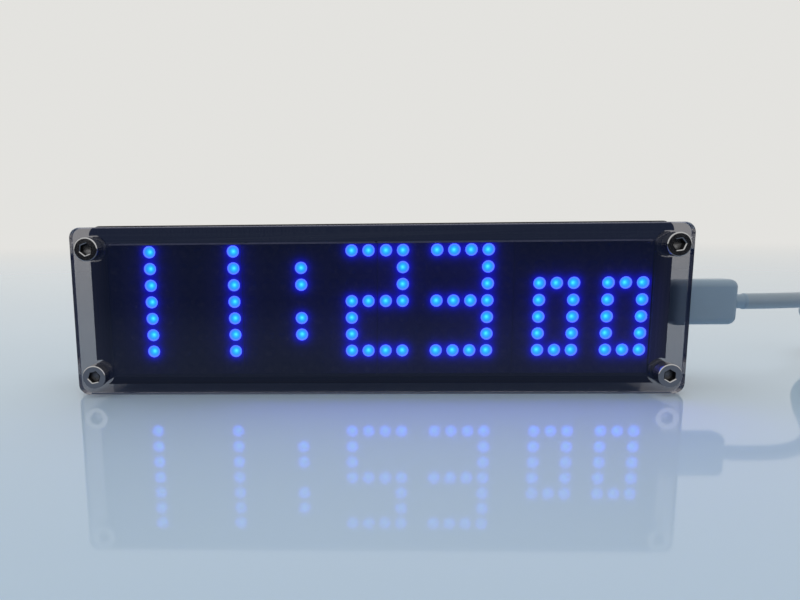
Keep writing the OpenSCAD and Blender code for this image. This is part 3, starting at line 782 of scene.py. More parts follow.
@dataclass(frozen=True)
class ContactTongue(Finish):
    """A black tongue with gilt contact strips."""

    middle_z: float = 20.05
    pitch: float = 0.5
    strip_half: float = 0.28
    reach: float = 6.0
    black: Colour = (0.02, 0.02, 0.02)
    gilt: Colour = (0.80, 0.60, 0.26)

    def paint(self, graph: MaterialGraph) -> None:
        """Sets gilt strips side by side across the tongue, measured in pitches.

        Args:
            graph: The material\'s graph, empty at first.
        """
        at = graph.place()
        _, _, z = graph.apart(at)
        along = (z - self.middle_z * MM) / (self.pitch * MM)
        strip = abs(along - along.nearest()) < self.strip_half
        strip = strip * (abs(along) < self.reach)
        graph.dress(
            {
                "Base Color": graph.mix(strip, self.black, self.gilt),
                "Metallic": strip,
                "Roughness": 0.45 - 0.2 * strip + 0.05 * graph.noise(at, 3000.0),
            }
        )


@dataclass(frozen=True)
class WovenTape(Finish):
    """Woven tape, its threads over and under each other along the tape's own length."""

    colour: Colour = (0.035, 0.037, 0.042)
    threads: float = 1.3

    def paint(self, graph: MaterialGraph) -> None:
        """Crosses two waves in millimetres along and across the tape.

        Args:
            graph: The material\'s graph, empty at first.
        """
        at = graph.node("ShaderNodeUVMap", {"uv_map": "UVMap"})
        u, v, _ = graph.apart(at)
        turn = math.pi * self.threads
        wave = (u * turn).sine() * (v * turn).sine()
        fuzz = graph.noise(graph.place(), 4000.0, 4.0)
        # Painted shade: the colour darkens in the weave's hollows and lightens on the threads'
        # crowns, with random fuzz.
        height = wave * 0.35 + 0.5 + 0.3 * fuzz
        light = tuple(2.4 * part for part in self.colour)
        graph.dress(
            {
                "Base Color": graph.mix(height, self.colour, light),
                "Roughness": 0.75 + 0.15 * fuzz,
                "Sheen Weight": 0.3,
                "Normal": graph.bump(height, 1.2e-4),
            }
        )


@dataclass
class Surface:
    """Points and quads in millimetres, with a texture place and named values for each point."""

    points: np.ndarray
    quads: np.ndarray
    uv: np.ndarray | None = None
    values: dict[str, np.ndarray] = field(default_factory=dict)

    @classmethod
    def of_grid(
        cls,
        grid: np.ndarray,
        close_rows: bool = False,
        close_columns: bool = True,
        uv: np.ndarray | None = None,
        **values: np.ndarray,
    ) -> Surface:
        """Joins neighbours of a grid of points into quads.

        Args:
            grid: Points, rows by columns by three.
            close_rows: Whether the last row joins the first.
            close_columns: Whether the last column joins the first.
            uv: Texture places, rows by columns by two.
            values: Named values, rows by columns.

        Returns:
            The surface.
        """
        rows, columns = grid.shape[:2]
        i = np.arange(rows if close_rows else rows - 1)[:, None]
        j = np.arange(columns if close_columns else columns - 1)[None, :]
        below, beside = (i + 1) % rows, (j + 1) % columns
        row, next_row = i * columns, below * columns
        corners = (row + j, row + beside, next_row + beside, next_row + j)
        quads = np.stack(np.broadcast_arrays(*corners), -1).reshape(-1, 4)
        flat = None if uv is None else uv.reshape(-1, 2)
        named = {key: value.reshape(-1) for key, value in values.items()}
        return cls(grid.reshape(-1, 3), quads, flat, named)

    @classmethod
    def joined(cls, parts: Sequence[Surface]) -> Surface:
        """Puts surfaces without texture places in one.

        Args:
            parts: The surfaces, all with the same named values or none.

        Returns:
            The one surface.
        """
        starts = np.cumsum([0] + [len(part.points) for part in parts[:-1]])
        names = parts[0].values
        return cls(
            np.concatenate([part.points for part in parts]),
            np.concatenate([part.quads + start for part, start in zip(parts, starts)]),
            values={key: np.concatenate([part.values[key] for part in parts]) for key in names},
        )


def full_turn(steps: int) -> np.ndarray:
    """Returns evenly spaced angles round a full turn, its start only once."""
    return np.linspace(0.0, 2.0 * np.pi, steps, endpoint=False)


def unit(vectors: np.ndarray) -> np.ndarray:
    """Returns vectors with each one's length made 1."""
    return vectors / np.linalg.norm(vectors, axis=-1, keepdims=True)


def level_step(u: np.ndarray) -> np.ndarray:
    """Returns 3 u^2 - 2 u^3, which leaves 0 and reaches 1 without a kink."""
    return u * u * (3.0 - 2.0 * u)


def round_corners(steps: int) -> tuple[np.ndarray, np.ndarray, np.ndarray]:
    """Runs round four corners, a quarter turn at each.

    Args:
        steps: Steps in each quarter turn.

    Returns:
        The angle at each step, and its corner's side in X and in Y.
    """
    quarter = np.linspace(0.0, 0.5 * np.pi, steps + 1)
    angle = np.concatenate([quarter + 0.5 * np.pi * k for k in range(4)])
    side_x = np.repeat([1.0, -1.0, -1.0, 1.0], steps + 1)
    side_y = np.repeat([1.0, 1.0, -1.0, -1.0], steps + 1)
    return angle, side_x, side_y


def turned_about(profile: np.ndarray, sides: int) -> np.ndarray:
    """Carries a profile round the X axis: (x, r cos a, r sin a) for each angle a.

    Args:
        profile: Points (x, r), one row each.
        sides: Steps round the axis.

    Returns:
        The grid of points, profile by sides by three, about the X axis.
    """
    angle = full_turn(sides)
    x, r = profile[:, :1], profile[:, 1:]
    return np.stack([x + 0.0 * angle, r * np.cos(angle), r * np.sin(angle)], -1)


def rounded_block(size: Place, radius: float, steps: int = 6) -> np.ndarray:
    """A block with round edges: each point of a ball of that radius, pushed out to its corner.

    Args:
        size: The block's length, width and height.
        radius: The radius of its edges.
        steps: Steps in a quarter turn.

    Returns:
        The grid of points about the block's middle, from pole to pole.
    """
    across, side_x, side_y = round_corners(steps)
    quarter = across[: steps + 1]
    up = np.concatenate([quarter - 0.5 * np.pi, quarter])[:, None]
    side_z = np.repeat([-1.0, 1.0], steps + 1)[:, None]
    core = np.asarray(size, float) / 2.0 - radius
    x = side_x * core[0] + radius * np.cos(up) * np.cos(across)
    y = side_y * core[1] + radius * np.cos(up) * np.sin(across)
    z = side_z * core[2] + radius * np.sin(up) + 0.0 * across
    grid = np.stack([x, y, z], -1)
    poles = np.zeros((2, 1, 3))
    poles[:, 0, 2] = (grid[0, 0, 2], grid[-1, 0, 2])
    ends = np.repeat(poles, grid.shape[1], axis=1)
    return np.concatenate([ends[:1], grid, ends[1:]])


def rect_loop(half_w: float, half_h: float, radius: float, steps: int) -> np.ndarray:
    """A rectangle with round corners: quarter circles at its four corners.

    Args:
        half_w: Half its width.
        half_h: Half its height.
        radius: The corners' radius.
        steps: Steps in each corner.

    Returns:
        Points (x, z) round the loop.
    """
    angle, side_x, side_z = round_corners(steps)
    r = min(radius, half_w, half_h)
    x = side_x * (half_w - r) + r * np.cos(angle)
    return np.stack([x, side_z * (half_h - r) + r * np.sin(angle)], -1)


def smooth_route(points: np.ndarray, first: np.ndarray, last: np.ndarray, steps: int) -> np.ndarray:
    """A smooth route: on each stretch the cubic that has its ends' places and slopes.

    Args:
        points: The places that the route goes through.
        first: The way it leaves the first place.
        last: The way it reaches the last place.
        steps: Steps in each stretch.

    Returns:
        Points along the route, the last place included.
    """
    gap = np.diff(points, axis=0)
    length = np.linalg.norm(gap, axis=1, keepdims=True)
    slope = gap / length
    inner = (slope[:-1] * length[1:] + slope[1:] * length[:-1]) / (length[1:] + length[:-1])
    way = np.concatenate([first[None], inner, last[None]])
    t = np.linspace(0.0, 1.0, steps, endpoint=False)[None, :, None]
    p0, p1 = points[:-1, None], points[1:, None]
    m0, m1 = (way[:-1] * length)[:, None], (way[1:] * length)[:, None]
    route = (
        (2 * t**3 - 3 * t**2 + 1) * p0
        + (t**3 - 2 * t**2 + t) * m0
        + (3 * t**2 - 2 * t**3) * p1
        + (t**3 - t**2) * m1
    )
    return np.concatenate([route.reshape(-1, 3), points[-1:]])


def run_along(route: np.ndarray) -> np.ndarray:
    """Returns how far along a route each of its points is."""
    return np.concatenate([[0.0], np.cumsum(np.linalg.norm(np.diff(route, axis=0), axis=1))])


def evenly(route: np.ndarray, step: float) -> np.ndarray:
    """Spaces the points of a route evenly.

    Args:
        route: Points along the route.
        step: About how far apart the new points are.

    Returns:
        The new points, both ends included.
    """
    run = run_along(route)
    at = np.linspace(0.0, run[-1], max(2, round(run[-1] / step)))
    return np.stack([np.interp(at, run, route[:, k]) for k in range(3)], -1)


class Workshop:
    """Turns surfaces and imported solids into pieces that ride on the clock."""

    def __init__(self, frame: Mapping[str, Any]) -> None:
        """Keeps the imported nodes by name."""
        self.nodes: dict[str, bpy.types.Object] = frame["nodes"]

    def dress(self, finish: Finish, *nodes: str) -> None:
        """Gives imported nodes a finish.

        Args:
            finish: The finish.
            nodes: The names of the nodes.
        """
        for name in nodes:
            mesh = self.nodes[name].data
            mesh.materials.clear()
            mesh.materials.append(finish.material())
            log.info("dressed %s in %s", name, finish.name)

    def add(
        self,
        name: str,
        mesh: bpy.types.Mesh,
        finish: Finish,
        body: Body,
        slot: str,
        stands_for: Sequence[str],
        sharp: float,
    ) -> bpy.types.Object:
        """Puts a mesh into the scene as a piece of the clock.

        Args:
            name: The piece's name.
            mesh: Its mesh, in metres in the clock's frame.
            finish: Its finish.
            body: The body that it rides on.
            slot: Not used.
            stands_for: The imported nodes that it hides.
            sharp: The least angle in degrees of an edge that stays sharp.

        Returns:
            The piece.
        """
        mesh.polygons.foreach_set("use_smooth", np.ones(len(mesh.polygons), bool))
        mesh.set_sharp_from_angle(angle=math.radians(sharp))
        mesh.materials.append(finish.material())
        piece = bpy.data.objects.new(name, mesh)
        bpy.context.scene.collection.objects.link(piece)
        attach(piece, body.value)
        if stands_for:
            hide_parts(*stands_for)
        log.info("made %s with %d faces", name, len(mesh.polygons))
        return piece

    def piece(
        self,
        name: str,
        surface: Surface,
        finish: Finish,
        slot: str,
        body: Body = Body.CLOCK,
        stands_for: Sequence[str] = (),
        sharp: float = 40.0,
        closed: bool = True,
    ) -> bpy.types.Object:
        """Makes a piece of a surface.

        Args:
            name: The piece's name.
            surface: Its surface.
            finish: Its finish.
            slot: The material slot that it belongs to.
            body: The body that it rides on.
            stands_for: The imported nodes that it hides.
            sharp: The least angle in degrees of an edge that stays sharp.
            closed: Whether the surface closes, so that its faces can be turned outwards.

        Returns:
            The piece.
        """
        mesh = bpy.data.meshes.new(name)
        mesh.from_pydata((surface.points * MM).tolist(), [], surface.quads.tolist())
        if surface.uv is not None:
            corner = np.empty(len(mesh.loops), np.int32)
            mesh.loops.foreach_get("vertex_index", corner)
            layer = mesh.uv_layers.new(name="UVMap")
            layer.data.foreach_set("uv", surface.uv[corner].astype(np.float32).ravel())
        for key, values in surface.values.items():
            attribute = mesh.attributes.new(key, "FLOAT", "POINT")
            attribute.data.foreach_set("value", values.astype(np.float32))
        work = bmesh.new()
        work.from_mesh(mesh)
        bmesh.ops.remove_doubles(work, verts=work.verts[:], dist=WELD)
        if closed:
            bmesh.ops.recalc_face_normals(work, faces=work.faces[:])
        work.to_mesh(mesh)
        work.free()
        return self.add(name, mesh, finish, body, slot, stands_for, sharp)

    def softened(self, name: str, node: str, finish: Finish, slot: str, edge: float) -> None:
        """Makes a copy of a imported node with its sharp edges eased.

        Args:
            name: The piece's name.
            node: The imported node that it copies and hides.
            finish: Its finish.
            slot: The material slot that it belongs to.
            edge: The width of the eased edge.
        """
        sharp, flat = 35.0, 0.5
        work = bmesh.new()
        work.from_mesh(self.nodes[node].data)
        bmesh.ops.remove_doubles(work, verts=work.verts[:], dist=WELD)
        bmesh.ops.dissolve_limit(
            work, angle_limit=math.radians(flat), verts=work.verts[:], edges=work.edges[:]
        )
        mesh = bpy.data.meshes.new(name)
        work.to_mesh(mesh)
        work.free()
        normals = mesh.attributes.get("custom_normal")
        if normals is not None:
            mesh.attributes.remove(normals)
        piece = self.add(name, mesh, finish, Body.CLOCK, slot, [node], sharp)
        ease = piece.modifiers.new("eased_edges", "BEVEL")
        ease.width = edge * MM
        ease.segments = 2
        ease.limit_method = "ANGLE"
        ease.angle_limit = math.radians(sharp)
        ease.harden_normals = True


@dataclass
class Viewpoint:
    """The camera, at the photograph's place, with its angle of view and its cropped frame."""

    place: Place = (-6.93, -159.23, 38.77)
    down: float = 8.34
    left: float = 1.71
    roll: float = -0.55
    lens: float = 28.3
    sensor: float = 36.0
    nearest: float = 0.005
    shift: Span = (0.088, 0.0283)

    def build(self) -> None:
        """Sets up the camera, turned down and to the left and rolled a little."""
        data = bpy.data.cameras.new("viewpoint")
        data.lens = self.lens
        data.sensor_width = self.sensor
        data.shift_x, data.shift_y = self.shift
        data.clip_start = self.nearest
        camera = bpy.data.objects.new("viewpoint", data)
        pose = Matrix.Translation([part * MM for part in self.place])
        for angle, axis in ((self.left, "Z"), (90.0 - self.down, "X"), (self.roll, "Z")):
            pose = pose @ Matrix.Rotation(math.radians(angle), 4, axis)
        camera.matrix_world = pose
        bpy.context.scene.collection.objects.link(camera)
        bpy.context.scene.camera = camera


@dataclass
class Studio:
    """A pale floor that fades into a pale surround, and soft light from above."""

    floor_colour: Colour = (0.61, 0.78, 0.94)
    air_colour: Colour = (0.77, 0.765, 0.74)
    floor_rings: tuple[float, ...] = (0.0, 0.3, 1.0, 2.5, 6.0)
    floor_sides: int = 64
    fade: Span = (0.45, 1.9)
    sky_level: float = 0.42
    key_power: float = 5.4
    key_size: float = 1.5
    key_place: Place = (-0.18, 0.22, 0.85)
    fill_power: float = 0.5
    fill_size: float = 0.6
    fill_place: Place = (0.55, -0.65, 0.6)
    front_dim: float = 0.5
    front_side: Span = (0.0, 0.6)
    front_top: Span = (0.15, 0.5)
    front_mirrored: Span = (0.0, 0.06)
    front_colour: Colour = (0.014, 0.015, 0.019)
    front_near: Colour = (0.125, 0.15, 0.195)
    front_fade: Span = (0.03, 0.22)
    front_floor: Span = (0.0105, 0.012)
    spill_place: Place = (0.018, -0.0175, 0.020)
    spill_size: Span = (0.104, 0.028)
    spill_power: float = 0.006
    spill_colour: Colour = (0.15, 0.12, 1.0)

    def build(self) -> None:
        """Makes the floor, the lamps and the surround."""
        self.floor()
        self.lamp("key", self.key_place, self.key_power, self.key_size)
        self.lamp("fill", self.fill_place, self.fill_power, self.fill_size)
        self.spill()
        self.surround()

    def floor(self) -> None:
        """Makes the floor: rings about the origin, out to where it can't be told from the air."""
        ring = np.array(self.floor_rings)[:, None]
        angle = full_turn(self.floor_sides)
        grid = np.stack([ring * np.cos(angle), ring * np.sin(angle), 0.0 * ring + 0.0 * angle], -1)
        surface = Surface.of_grid(grid)
        mesh = bpy.data.meshes.new("floor")
        mesh.from_pydata(surface.points.tolist(), [], surface.quads.tolist())
        graph = MaterialGraph("floor_finish")
        at = graph.place()
        x, y, _ = graph.apart(at)
        far = (x * x + y * y) ** 0.5
        sheen = graph.noise(at, 9.0)
        graph.dress(
            {
                "Base Color": self.floor_colour,
                "Roughness": 0.03 + 0.035 * sheen,
                "Specular IOR Level": 0.3,
            }
        )
        haze = graph.node("ShaderNodeEmission", None, {"Color": self.air_colour, "Strength": 1.0})
        graph.cover(far.eased(*self.fade), haze)
        ahead = y * -1.0
        dim = graph.mix(ahead.eased(*self.front_fade), self.front_near, self.front_colour)
        mirrored = graph.node("ShaderNodeLightPath", out="Is Glossy Ray")
        shade = graph.node("ShaderNodeEmission", None, {"Color": dim})
        graph.cover(ahead.eased(*self.front_floor) * mirrored, shade)
        mesh.materials.append(graph.material)
        floor = bpy.data.objects.new("floor", mesh)
        bpy.context.scene.collection.objects.link(floor)

    def lamp(
        self, name: str, place: Place, power: float, size: float, target: Place = (0.0, 0.0, 0.02)
    ) -> bpy.types.Object:
        """Hangs a square lamp that isn't mirrored in the floor.

        Args:
            name: The lamp's name.
            place: Where it hangs, in metres.
            power: Its power in watts.
            size: The side of its square, in metres.
            target: What it faces, in metres.

        Returns:
            The lamp.
        """
        data = bpy.data.lights.new(name, "AREA")
        data.energy = power
        data.size = size
        lamp = bpy.data.objects.new(name, data)
        lamp.visible_glossy = False
        lamp.location = place
        aim = Vector(target) - Vector(place)
        lamp.rotation_euler = aim.to_track_quat("-Z", "Y").to_euler()
        bpy.context.scene.collection.objects.link(lamp)
        return lamp

    def spill(self) -> None:
        """Throws the display's blue light on the floor: a low lamp that faces the viewer."""
        x, y, z = self.spill_place
        width, height = self.spill_size
        lamp = self.lamp("spill", self.spill_place, self.spill_power, width, (x, y - 1.0, z))
        lamp.visible_camera = False
        lamp.visible_transmission = False
        lamp.data.shape = "RECTANGLE"
        lamp.data.size_y = height
        lamp.data.color = self.spill_colour

    def surround(self) -> None:
        """Lights from all round at a plain level, and shows as pale air to the eye and in glass.

        The room in front of the clock is dimmer, in its light and where shiny faces mirror it.
        """
        world = bpy.data.worlds.new("surround")
        world.use_nodes = True
        bpy.context.scene.world = world
        graph = Graph(world.node_tree)
        seen = graph.node("ShaderNodeLightPath", out="Is Camera Ray")
        mirrored = seen.sibling("Is Glossy Ray")
        seen = seen.most(seen.sibling("Is Transmission Ray")).most(mirrored)
        _, y, z = graph.apart(graph.node("ShaderNodeTexCoord", out="Generated"))
        ahead = (y * -1.0).eased(*self.front_side)
        front = ahead * (1.0 - z.eased(*self.front_top))
        level = ahead * (1.0 - z.eased(*self.front_mirrored))
        colour = graph.mix(level * mirrored, self.air_colour, self.front_colour)
        sky = world.node_tree.nodes["Background"]
        graph.feed(sky.inputs["Color"], colour)
        unseen = self.sky_level * (1.0 - self.front_dim * front)
        graph.feed(sky.inputs["Strength"], seen + unseen * (1.0 - seen))


@dataclass
class PowerCable:
    """The cable from the plug's neck to its coil on the table and the far plug, with its grips."""

    diameter: float = 4.0
    sides: int = 20
    turned_sides: int = 32
    lead_steps: int = 12
    coil_steps: int = 64
    follow_steps: int = 24
    curl_steps: int = 30
    sleeve_steps: int = 56
    tie_steps: int = 8
    even_step: float = 2.0
    exit: Place = (93.4, 2.08, 20.05)
    air: tuple[Place, ...] = (
        (100.0, 2.2, 20.1),
        (108.0, 3.6, 20.1),
        (115.5, 7.8, 19.8),
        (121.5, 13.8, 19.2),
        (126.0, 21.0, 18.2),
        (130.0, 30.0, 15.6),
        (135.5, 38.3, 12.0),
        (142.3, 41.8, 8.8),
        (149.2, 43.9, 5.8),
        (155.5, 44.5, 3.9),
    )
    coil_at: Place = (165.0, 15.0, 3.2)
    inner_r: float = 16.6
    pitch: float = 4.6
    rise: float = 4.5
    layer: float = 2.8125
    climb: float = 0.5
    early: float = 0.25
    curl_r: float = 18.0
    curl_sweep: float = 120.0
    straight: float = 5.0
    far_z: float = 13.55
    grip_at: Place = (82.0, 2.08, 20.05)
    grip_size: Place = (16.8, 6.4, 11.4)
    grip_r: float = 1.9
    neck_x: float = 90.4
    far_grip: Place = (26.0, 15.4, 7.6)
    far_grip_r: float = 1.8
    sleeve_l: float = 7.0
    sleeve_r: Span = (2.2, 3.1)
    groove_x: tuple[float, ...] = (1.75, 3.5, 5.25)
    groove_w: float = 0.28
    groove_depth: float = 0.25
    tie_w: float = 10.0
    tie_t: float = 0.9
    tie_gap: float = 0.3
    tie_play: float = 0.02
    tie_ease: float = 0.12
    tie_corner: float = 1.55
    tie_angle: float = 160.0

    def turns(self) -> float:
        """Returns the turns in the coil."""
        return 2.0 * self.layer + self.climb - self.early

    def spiral(self, turn: np.ndarray) -> np.ndarray:
        """The coil's points: a clockwise spiral in, half a turn's climb, and a spiral out above.

        Args:
            turn: The turns to read, from 0 where the coil begins.

        Returns:
            One point for each turn.
        """
        u = np.clip((turn - self.layer) / self.climb, 0.0, 1.0)
        r_in = self.inner_r + self.pitch * (self.layer - turn)
        r_out = self.inner_r + self.pitch * (turn - self.layer - self.climb)
        r_climb = self.inner_r - self.pitch / 2.0 * u * (1.0 - u)
        r = np.where(u <= 0.0, r_in, np.where(u >= 1.0, r_out, r_climb))
        angle = np.radians(90.0 - 360.0 * turn)
        return np.stack(
            [
                self.coil_at[0] + r * np.cos(angle),
                self.coil_at[1] + r * np.sin(angle),
                self.coil_at[2] + self.rise * level_step(u),
            ],
            -1,
        )

    def last_way(self) -> np.ndarray:
        """Returns the way that the cable points at its far end."""
        angle = math.radians(90.0 - 360.0 * (self.turns() + self.early) - self.curl_sweep)
        return np.array([math.sin(angle), -math.cos(angle), 0.0])

    def tail(self) -> np.ndarray:
        """The cable's end: it follows the coil as it rises, curls in over it and runs straight.

        Returns:
            Points along it, after the coil's last one.
        """
        first = self.turns()
        follow = self.spiral(np.linspace(first, first + self.early, self.follow_steps + 1))[1:]
        start = math.radians(90.0 - 360.0 * (first + self.early))
        out = np.array([math.cos(start), math.sin(start), 0.0])
        sweep = np.linspace(0.0, self.curl_sweep, self.curl_steps + 1)[1:]
        angle = start - np.radians(sweep)
        ring = np.stack([np.cos(angle), np.sin(angle), 0.0 * angle], -1)
        curl = follow[-1] + self.curl_r * (ring - out)
        plan = np.concatenate([follow, curl, curl[-1:] + self.straight * self.last_way()])
        run = run_along(plan)
        u = np.clip((run - self.diameter) / (run[-1] - self.straight - self.diameter), 0.0, 1.0)
        plan[:, 2] += (self.far_z - plan[:, 2]) * level_step(u)
        return plan

    def route(self) -> np.ndarray:
        """The cable's route: through the air to the table, round the coil and to the far plug.

        Returns:
            Points along it.
        """
        turns = self.turns()
        coil = self.spiral(np.linspace(0.0, turns, round(turns * self.coil_steps) + 1))
        ahead = np.array([1.0, 0.0, 0.0])
        lead = np.array([self.exit, *self.air, coil[0] - self.diameter * ahead])
        way_down = smooth_route(lead, ahead, ahead, self.lead_steps)
        return np.concatenate([way_down, coil, self.tail()])

    def far_place(self) -> tuple[np.ndarray, np.ndarray]:
        """Finds the far plug's place.

        Returns:
            Where the plug begins, and the turn that points it along the cable's end.
        """
        way = self.last_way()
        side = np.array([-way[1], way[0], 0.0])
        return self.route()[-1], np.stack([way, side, np.array([0.0, 0.0, 1.0])])

    def jacket(self) -> tuple[Surface, np.ndarray]:
        """A tube: at each point of the route a circle square to the way, closed at both ends.

        Returns:
            The tube and the points that it follows.
        """
        route = evenly(self.route(), self.even_step)
        way = unit(np.gradient(route, axis=0))
        side = unit(np.cross(way, [0.0, 0.0, 1.0]))
        up = np.cross(side, way)
        angle = full_turn(self.sides)
        ring = np.cos(angle)[:, None] * side[:, None] + np.sin(angle)[:, None] * up[:, None]
        grid = route[:, None] + self.diameter / 2.0 * ring
        caps = np.repeat(route[[0, -1], None], self.sides, axis=1)
        grid = np.concatenate([caps[:1], grid, caps[1:]])
        return Surface.of_grid(grid), route

    def tie(self) -> Surface:
        """A tape round the coil's section: a flat profile carried along a round-cornered loop.

        Returns:
            The closed tape, with its places along and across in millimetres for the weave.
        """
        inner = self.inner_r - self.pitch / 8.0 - self.diameter / 2.0
        u0 = math.sqrt(inner**2 - self.tie_w**2 / 4.0) - self.tie_gap
        u1 = self.inner_r + self.pitch * self.layer + self.diameter / 2.0 + self.tie_gap
        z0 = self.tie_t
        z1 = self.coil_at[2] + self.rise + self.diameter / 2.0 + self.tie_gap
        half = ((u1 - u0) / 2.0 + self.tie_t / 2.0, (z1 - z0) / 2.0 + self.tie_t / 2.0)
        loop = rect_loop(*half, self.tie_corner, self.tie_steps)
        ahead = np.roll(loop, -1, axis=0) - np.roll(loop, 1, axis=0)
        normal = unit(np.stack([ahead[:, 1], -ahead[:, 0]], -1))
        t, w = self.tie_t / 2.0 - self.tie_play, self.tie_w / 2.0
        flat_w = w - self.tie_ease
        across = np.array([-w, -flat_w, flat_w, w, w, flat_w, -flat_w, -w])
        out = np.array([-0.5, -1.0, -1.0, -0.5, 0.5, 1.0, 1.0, 0.5]) * t
        flat = loop[:, None] + out[None, :, None] * normal[:, None]
        run = np.cumsum(np.linalg.norm(ahead, axis=1)) / 2.0
        angle = math.radians(self.tie_angle)
        radial = (u0 + u1) / 2.0 + flat[..., 0]
        x = self.coil_at[0] + radial * math.cos(angle) - across * math.sin(angle)
        y = self.coil_at[1] + radial * math.sin(angle) + across * math.cos(angle)
        z = (z0 + z1) / 2.0 + flat[..., 1]
        uv = np.stack(np.broadcast_arrays(run[:, None], across[None, :]), -1)
        return Surface.of_grid(np.stack([x, y, z], -1), True, True, uv)

    def neck(self) -> Surface:
        """The plug's neck: a profile with a waist and a collar, carried round the cable's axis.

        Returns:
            The closed neck.
        """
        x0, x1, r = self.neck_x, self.exit[0], self.diameter / 2.0
        outline = (
            (x0, -0.05),
            (x0 + 0.25, -0.2),
            (x1 - 1.0, -0.2),
            (x1 - 0.75, -0.16),
            (x1 - 0.55, -0.01),
            (x1 - 0.35, 0.02),
            (x1 - 0.05, 0.02),
            (x1, -0.03),
        )
        profile = np.array([(x0, 0.0), *((x, r + change) for x, change in outline), (x1, 0.0)])
        grid = turned_about(profile, self.turned_sides)
        return Surface.of_grid(grid + [0.0, self.exit[1], self.exit[2]])

    def sleeve(self) -> Surface:
        """The far plug's sleeve: a cone's radius, less a bell curve at each of its grooves.

        Returns:
            The closed sleeve, in the far plug's place.
        """
        x = np.linspace(0.0, self.sleeve_l, self.sleeve_steps + 1)
        r0, r1 = self.sleeve_r
        r = r0 + (r1 - r0) * x / self.sleeve_l
        groove = np.exp(-(((x[:, None] - self.groove_x) / self.groove_w) ** 2)).sum(1)
        profile = np.stack([x, r - self.groove_depth * groove], -1)
        profile = np.concatenate([[[0.0, 0.0]], profile, [[self.sleeve_l, 0.0]]])
        place, turn = self.far_place()
        return Surface.of_grid(turned_about(profile, self.turned_sides) @ turn + place)

    def build(self, shop: Workshop) -> None:
        """Makes the cable first, then the grips, the neck, the sleeve and the tie.

        Args:
            shop: Where pieces are made.
        """
        grey = (0.33, 0.44, 0.555)
        jacket = MouldedPlastic("cable_jacket", (0.36, 0.44, 0.52), 0.36, 900.0, 6e-6, scuffs=0.1)
        grip = MouldedPlastic("plug_grip", grey, 0.4, 4200.0, 5e-6, scuffs=0.15)
        far = MouldedPlastic("far_plug_grip", grey, 0.4, 4200.0, 1.4e-5, self.far_z, scuffs=0.15)
        tube, route = self.jacket()
        nodes = ["cable_lead", "cable_coil", "cable_tail"]
        cable = shop.piece("power_cable_jacket", tube, jacket, "cable_jacket", Body.CABLE, nodes)
        near_grid = rounded_block(self.grip_size, self.grip_r) + np.array(self.grip_at)
        place, turn = self.far_place()
        middle = [self.sleeve_l + self.far_grip[0] / 2.0, 0.0, 0.0]
        far_grid = (rounded_block(self.far_grip, self.far_grip_r) + middle) @ turn + place
        near, neck, far_grip, sleeve, tie = (
            shop.piece(name, surface, finish, slot, Body.CABLE, [node])
            for name, surface, finish, slot, node in (
                ("plug_grip", Surface.of_grid(near_grid), grip, "grip_grey", "usb_c_grip"),
                ("plug_neck", self.neck(), grip, "grip_grey", "cable_neck"),
                ("far_plug_grip", Surface.of_grid(far_grid), far, "grip_grey", "usb_a_grip"),
                ("far_plug_sleeve", self.sleeve(), far, "grip_grey", "usb_a_sleeve"),
                ("coil_tie", self.tie(), WovenTape("tie_tape"), "tie_fabric", "cable_tie"),
            )
        )
        for block in (near, far_grip):
            block.modifiers.new("even_faces", "WEIGHTED_NORMAL").keep_sharp = True
        steel = BareMetal("plug_shell", (0.66, 0.66, 0.67), 0.24, (1.0, 1.0, 6.0), 1500.0)
        shop.dress(steel, "usb_c_shell", "usb_a_shell")
        shop.dress(
            MouldedPlastic("plug_insert", (0.80, 0.80, 0.78), 0.4, 3000.0, 4e-6, scuffs=0.1),
            "usb_a_insert",
        )
        (route * MM).tolist()


